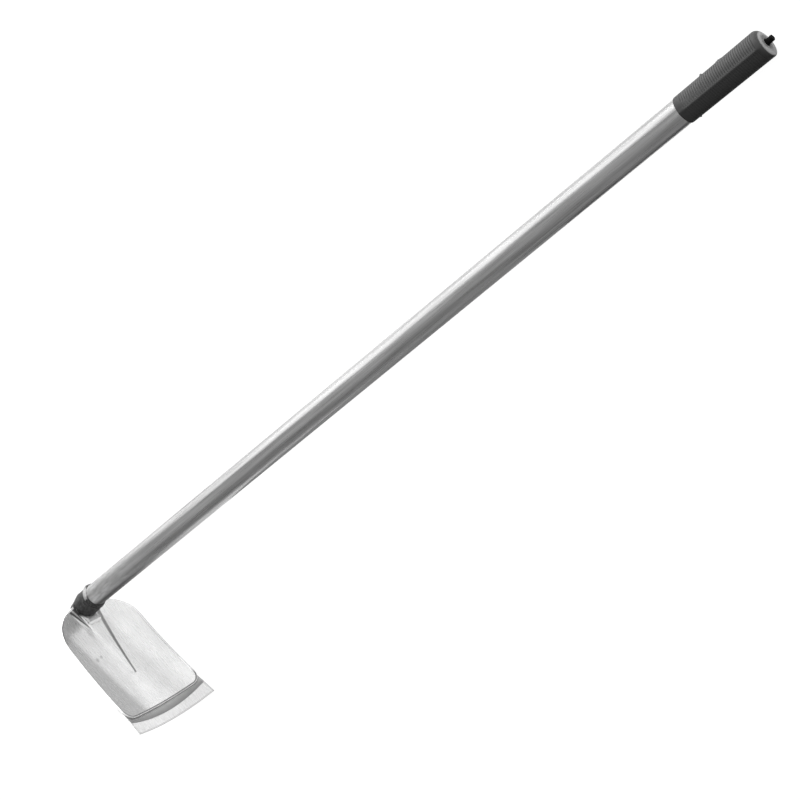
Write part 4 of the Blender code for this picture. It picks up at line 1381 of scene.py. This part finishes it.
makeSheet(polishedSheetSteel())
makeStrip(hardenedStripSteel())
makeStripWeld(weldBead)
upperSheetSpace = sheetSpace(blackenedIron)
makeNeck(blackenedIron, upperSheetSpace)
makeNeckWeld(weldBead, upperSheetSpace)
bpy.data.objects.remove(upperSheetSpace, do_unlink=True)
makeTubeWeld(scorchedWeldSteel())
makeTube(brushedTubeSteel())
makeGrip(mouldedGripRubber())
makePlug(mouldedPlugPlastic())
print("hoe dressed")

studioFloor = {
    "size": 30.0,
    "colour": "#a0a0a0",
    "cameraGlow": 0.94,
    "cameraShadowShare": 0.12,
    "metalGlow": 0.10,
    "metalFloor": 0.70,
}
# flat cards on the floor that only metal sees, each to draw a band in a reflection
studioCards = {
    "tubeCard": {"x": (-0.34, 1.2), "y": (0.062, -1.8), "z": 0.004, "colour": "#8c8c8c"},
    "lineCard": {"x": (0.30, 1.2), "y": (0.052, 0.032), "z": 0.005, "colour": "#202020"},
    # at the blade's foot and set by it: down the blade, across it and out of its face
    "footCard": {"down": (0.0, 0.13), "across": 0.07, "out": (0.002, 0.012), "z": 0.003,
                 "colour": "#484848"},
    # a bright one further out, for the rib's upper wall
    "ribCard": {"x": (-0.50, -0.38), "y": (-0.15, 0.20), "z": 0.003, "colour": "#ffffff",
                "glow": 0.8},
}
studioLamps = {
    "keyBox": {"place": (0.15, 1.3, 0.53), "target": (0.15, 0.0, 0.10), "size": (3.3, 1.02),
               "power": 12.0, "mirrored": True},
    "topBox": {"place": (-1.25, 0.1, 2.6), "target": (0.0, 0.0, 0.0), "size": (0.9, 0.9),
               "power": 22.0, "mirrored": False},
    "sideBox": {"place": (0.0, 3.0, 0.45), "target": (0.0, 0.0, 0.05), "size": (3.0, 0.6),
                "power": 230.0, "mirrored": False},
}
# the room's strength by height and towards its sides: from, to, and the strengths there
studioRoom = {
    "height": (0.05, 0.40, 0.62, 0.42),
    "side": (-0.25, 0.35),
    "front": (-0.7, 0.0, 0.5, 1.0),
}
photoCamera = {
    "lens": 87.75,
    "sensorWidth": 36.0,
    "clipEnd": 100.0,
    "right": (0.611840, -0.577727, -0.540263),
    "up": (0.493208, 0.812635, -0.310435),
    "back": (0.618383, -0.076526, 0.782142),
    "place": (1.392495, -0.132793, 1.789163),
}

def stageSheet(name, paperName, corners, face):
    # a flat sheet of the studio, with an empty material
    mesh = bpy.data.meshes.new(name)
    mesh.from_pydata(corners, [], [face])
    sheet = bpy.data.objects.new(name, mesh)
    bpy.context.scene.collection.objects.link(sheet)
    material = bpy.data.materials.new(paperName)
    material.use_nodes = True
    material.node_tree.nodes.clear()
    mesh.materials.append(material)
    return sheet, material.node_tree

def makeFloor():
    s = studioFloor
    size = s["size"] / 2
    corners = [(-size, -size, 0), (size, -size, 0), (size, size, 0), (-size, size, 0)]
    tree = stageSheet("studioFloor", "studioPaper", corners, (0, 1, 2, 3))[1]
    rays = addNode(tree, "LightPath")
    matt = addNode(tree, "BsdfDiffuse", values={"Color": linear(s["colour"])})
    # a grey paper with a glow of its own, once for the camera and once for metal
    sides = []
    for grey, glow in ((s["cameraShadowShare"], s["cameraGlow"]),
                       (s["metalFloor"], s["metalGlow"])):
        paper = addNode(tree, "BsdfDiffuse", values={"Color": (grey, grey, grey, 1.0)})
        lit = addNode(tree, "Emission", values={"Strength": glow})
        sides.append(addNode(tree, "AddShader", links={0: paper.outputs[0], 1: lit.outputs[0]}))
    cameraSide, metalSide = sides
    glossy = addNode(tree, "Math", largest, links={0: rays.outputs["Is Glossy Ray"],
                                                   1: rays.outputs["Is Transmission Ray"]})
    mirrored = addNode(tree, "MixShader",
                       links={0: glossy.outputs[0], 1: matt.outputs[0], 2: metalSide.outputs[0]})
    seen = addNode(tree, "MixShader", links={0: rays.outputs["Is Camera Ray"],
                                             1: mirrored.outputs[0], 2: cameraSide.outputs[0]})
    addNode(tree, "OutputMaterial", links={"Surface": seen.outputs[0]})

def makeCard(name, card):
    if "down" in card:
        corners = fromHoe([(x, card["across"], z) for z in card["out"] for x in card["down"]])
    else:
        corners = [(x, y) for y in card["y"] for x in card["x"]]
    corners = [(float(corner[0]), float(corner[1]), card["z"]) for corner in corners]
    sheet, tree = stageSheet(name, name + "Paper", corners, (0, 1, 3, 2))
    colour = {"Color": linear(card["colour"])}
    if "glow" in card:
        paper = addNode(tree, "Emission", values={**colour, "Strength": card["glow"]})
    else:
        paper = addNode(tree, "BsdfDiffuse", values=colour)
    addNode(tree, "OutputMaterial", links={"Surface": paper.outputs[0]})
    sheet.visible_camera = False
    sheet.visible_diffuse = False
    sheet.visible_shadow = False
    sheet.visible_transmission = False

def makeLamp(name, lamp):
    data = bpy.data.lights.new(name, "AREA")
    data.shape = "RECTANGLE"
    data.size, data.size_y = lamp["size"]
    data.energy = lamp["power"]
    box = bpy.data.objects.new(name, data)
    box.location = lamp["place"]
    towards = Vector(lamp["target"]) - Vector(lamp["place"])
    box.rotation_euler = towards.to_track_quat("-Z", "Y").to_euler()
    box.visible_glossy = lamp["mirrored"]
    bpy.context.scene.collection.objects.link(box)

def makeRoom():
    s = studioRoom
    room = bpy.data.worlds.new("studioRoom")
    bpy.context.scene.world = room
    room.use_nodes = True
    tree = room.node_tree
    tree.nodes.clear()
    rays = addNode(tree, "LightPath")
    way = addNode(tree, "TexCoord")
    parts = addNode(tree, "SeparateXYZ", links={0: way.outputs["Generated"]})
    height = addNode(tree, "MapRange", softly, span(*s["height"]), {"Value": parts.outputs["Z"]})
    side = addNode(tree, "MapRange", softly, span(*s["side"]), {"Value": parts.outputs["X"]})
    level = addNode(tree, "Mix", ofNumbers, {3: 1.0}, {0: side.outputs[0], 2: height.outputs[0]})
    front = addNode(tree, "MapRange", softly, span(*s["front"]), {"Value": parts.outputs["Y"]})
    strength = addNode(tree, "Math", times, links={0: level.outputs[0], 1: front.outputs[0]})
    lit = addNode(tree, "Background", values={"Color": (1, 1, 1, 1)},
                  links={"Strength": strength.outputs[0]})
    white = addNode(tree, "Background", values={"Color": (1, 1, 1, 1), "Strength": 1.0})
    both = addNode(tree, "MixShader", links={0: rays.outputs["Is Camera Ray"],
                                             1: lit.outputs[0], 2: white.outputs[0]})
    addNode(tree, "OutputWorld", links={"Surface": both.outputs[0]})

def makeCamera():
    s = photoCamera
    data = bpy.data.cameras.new("photoCamera")
    data.sensor_width = s["sensorWidth"]
    data.lens = s["lens"]
    data.clip_end = s["clipEnd"]
    camera = bpy.data.objects.new("photoCamera", data)
    turn = Matrix((s["right"], s["up"], s["back"])).transposed().to_4x4()
    camera.matrix_world = Matrix.Translation(s["place"]) @ turn
    bpy.context.scene.collection.objects.link(camera)
    bpy.context.scene.camera = camera

makeFloor()
for name, card in studioCards.items():
    makeCard(name, card)
for name, lamp in studioLamps.items():
    makeLamp(name, lamp)
makeRoom()
makeCamera()
bpy.context.scene.view_settings.view_transform = "Standard"
print("studio made:", len(studioCards), "cards,", len(studioLamps), "lamps and the camera")
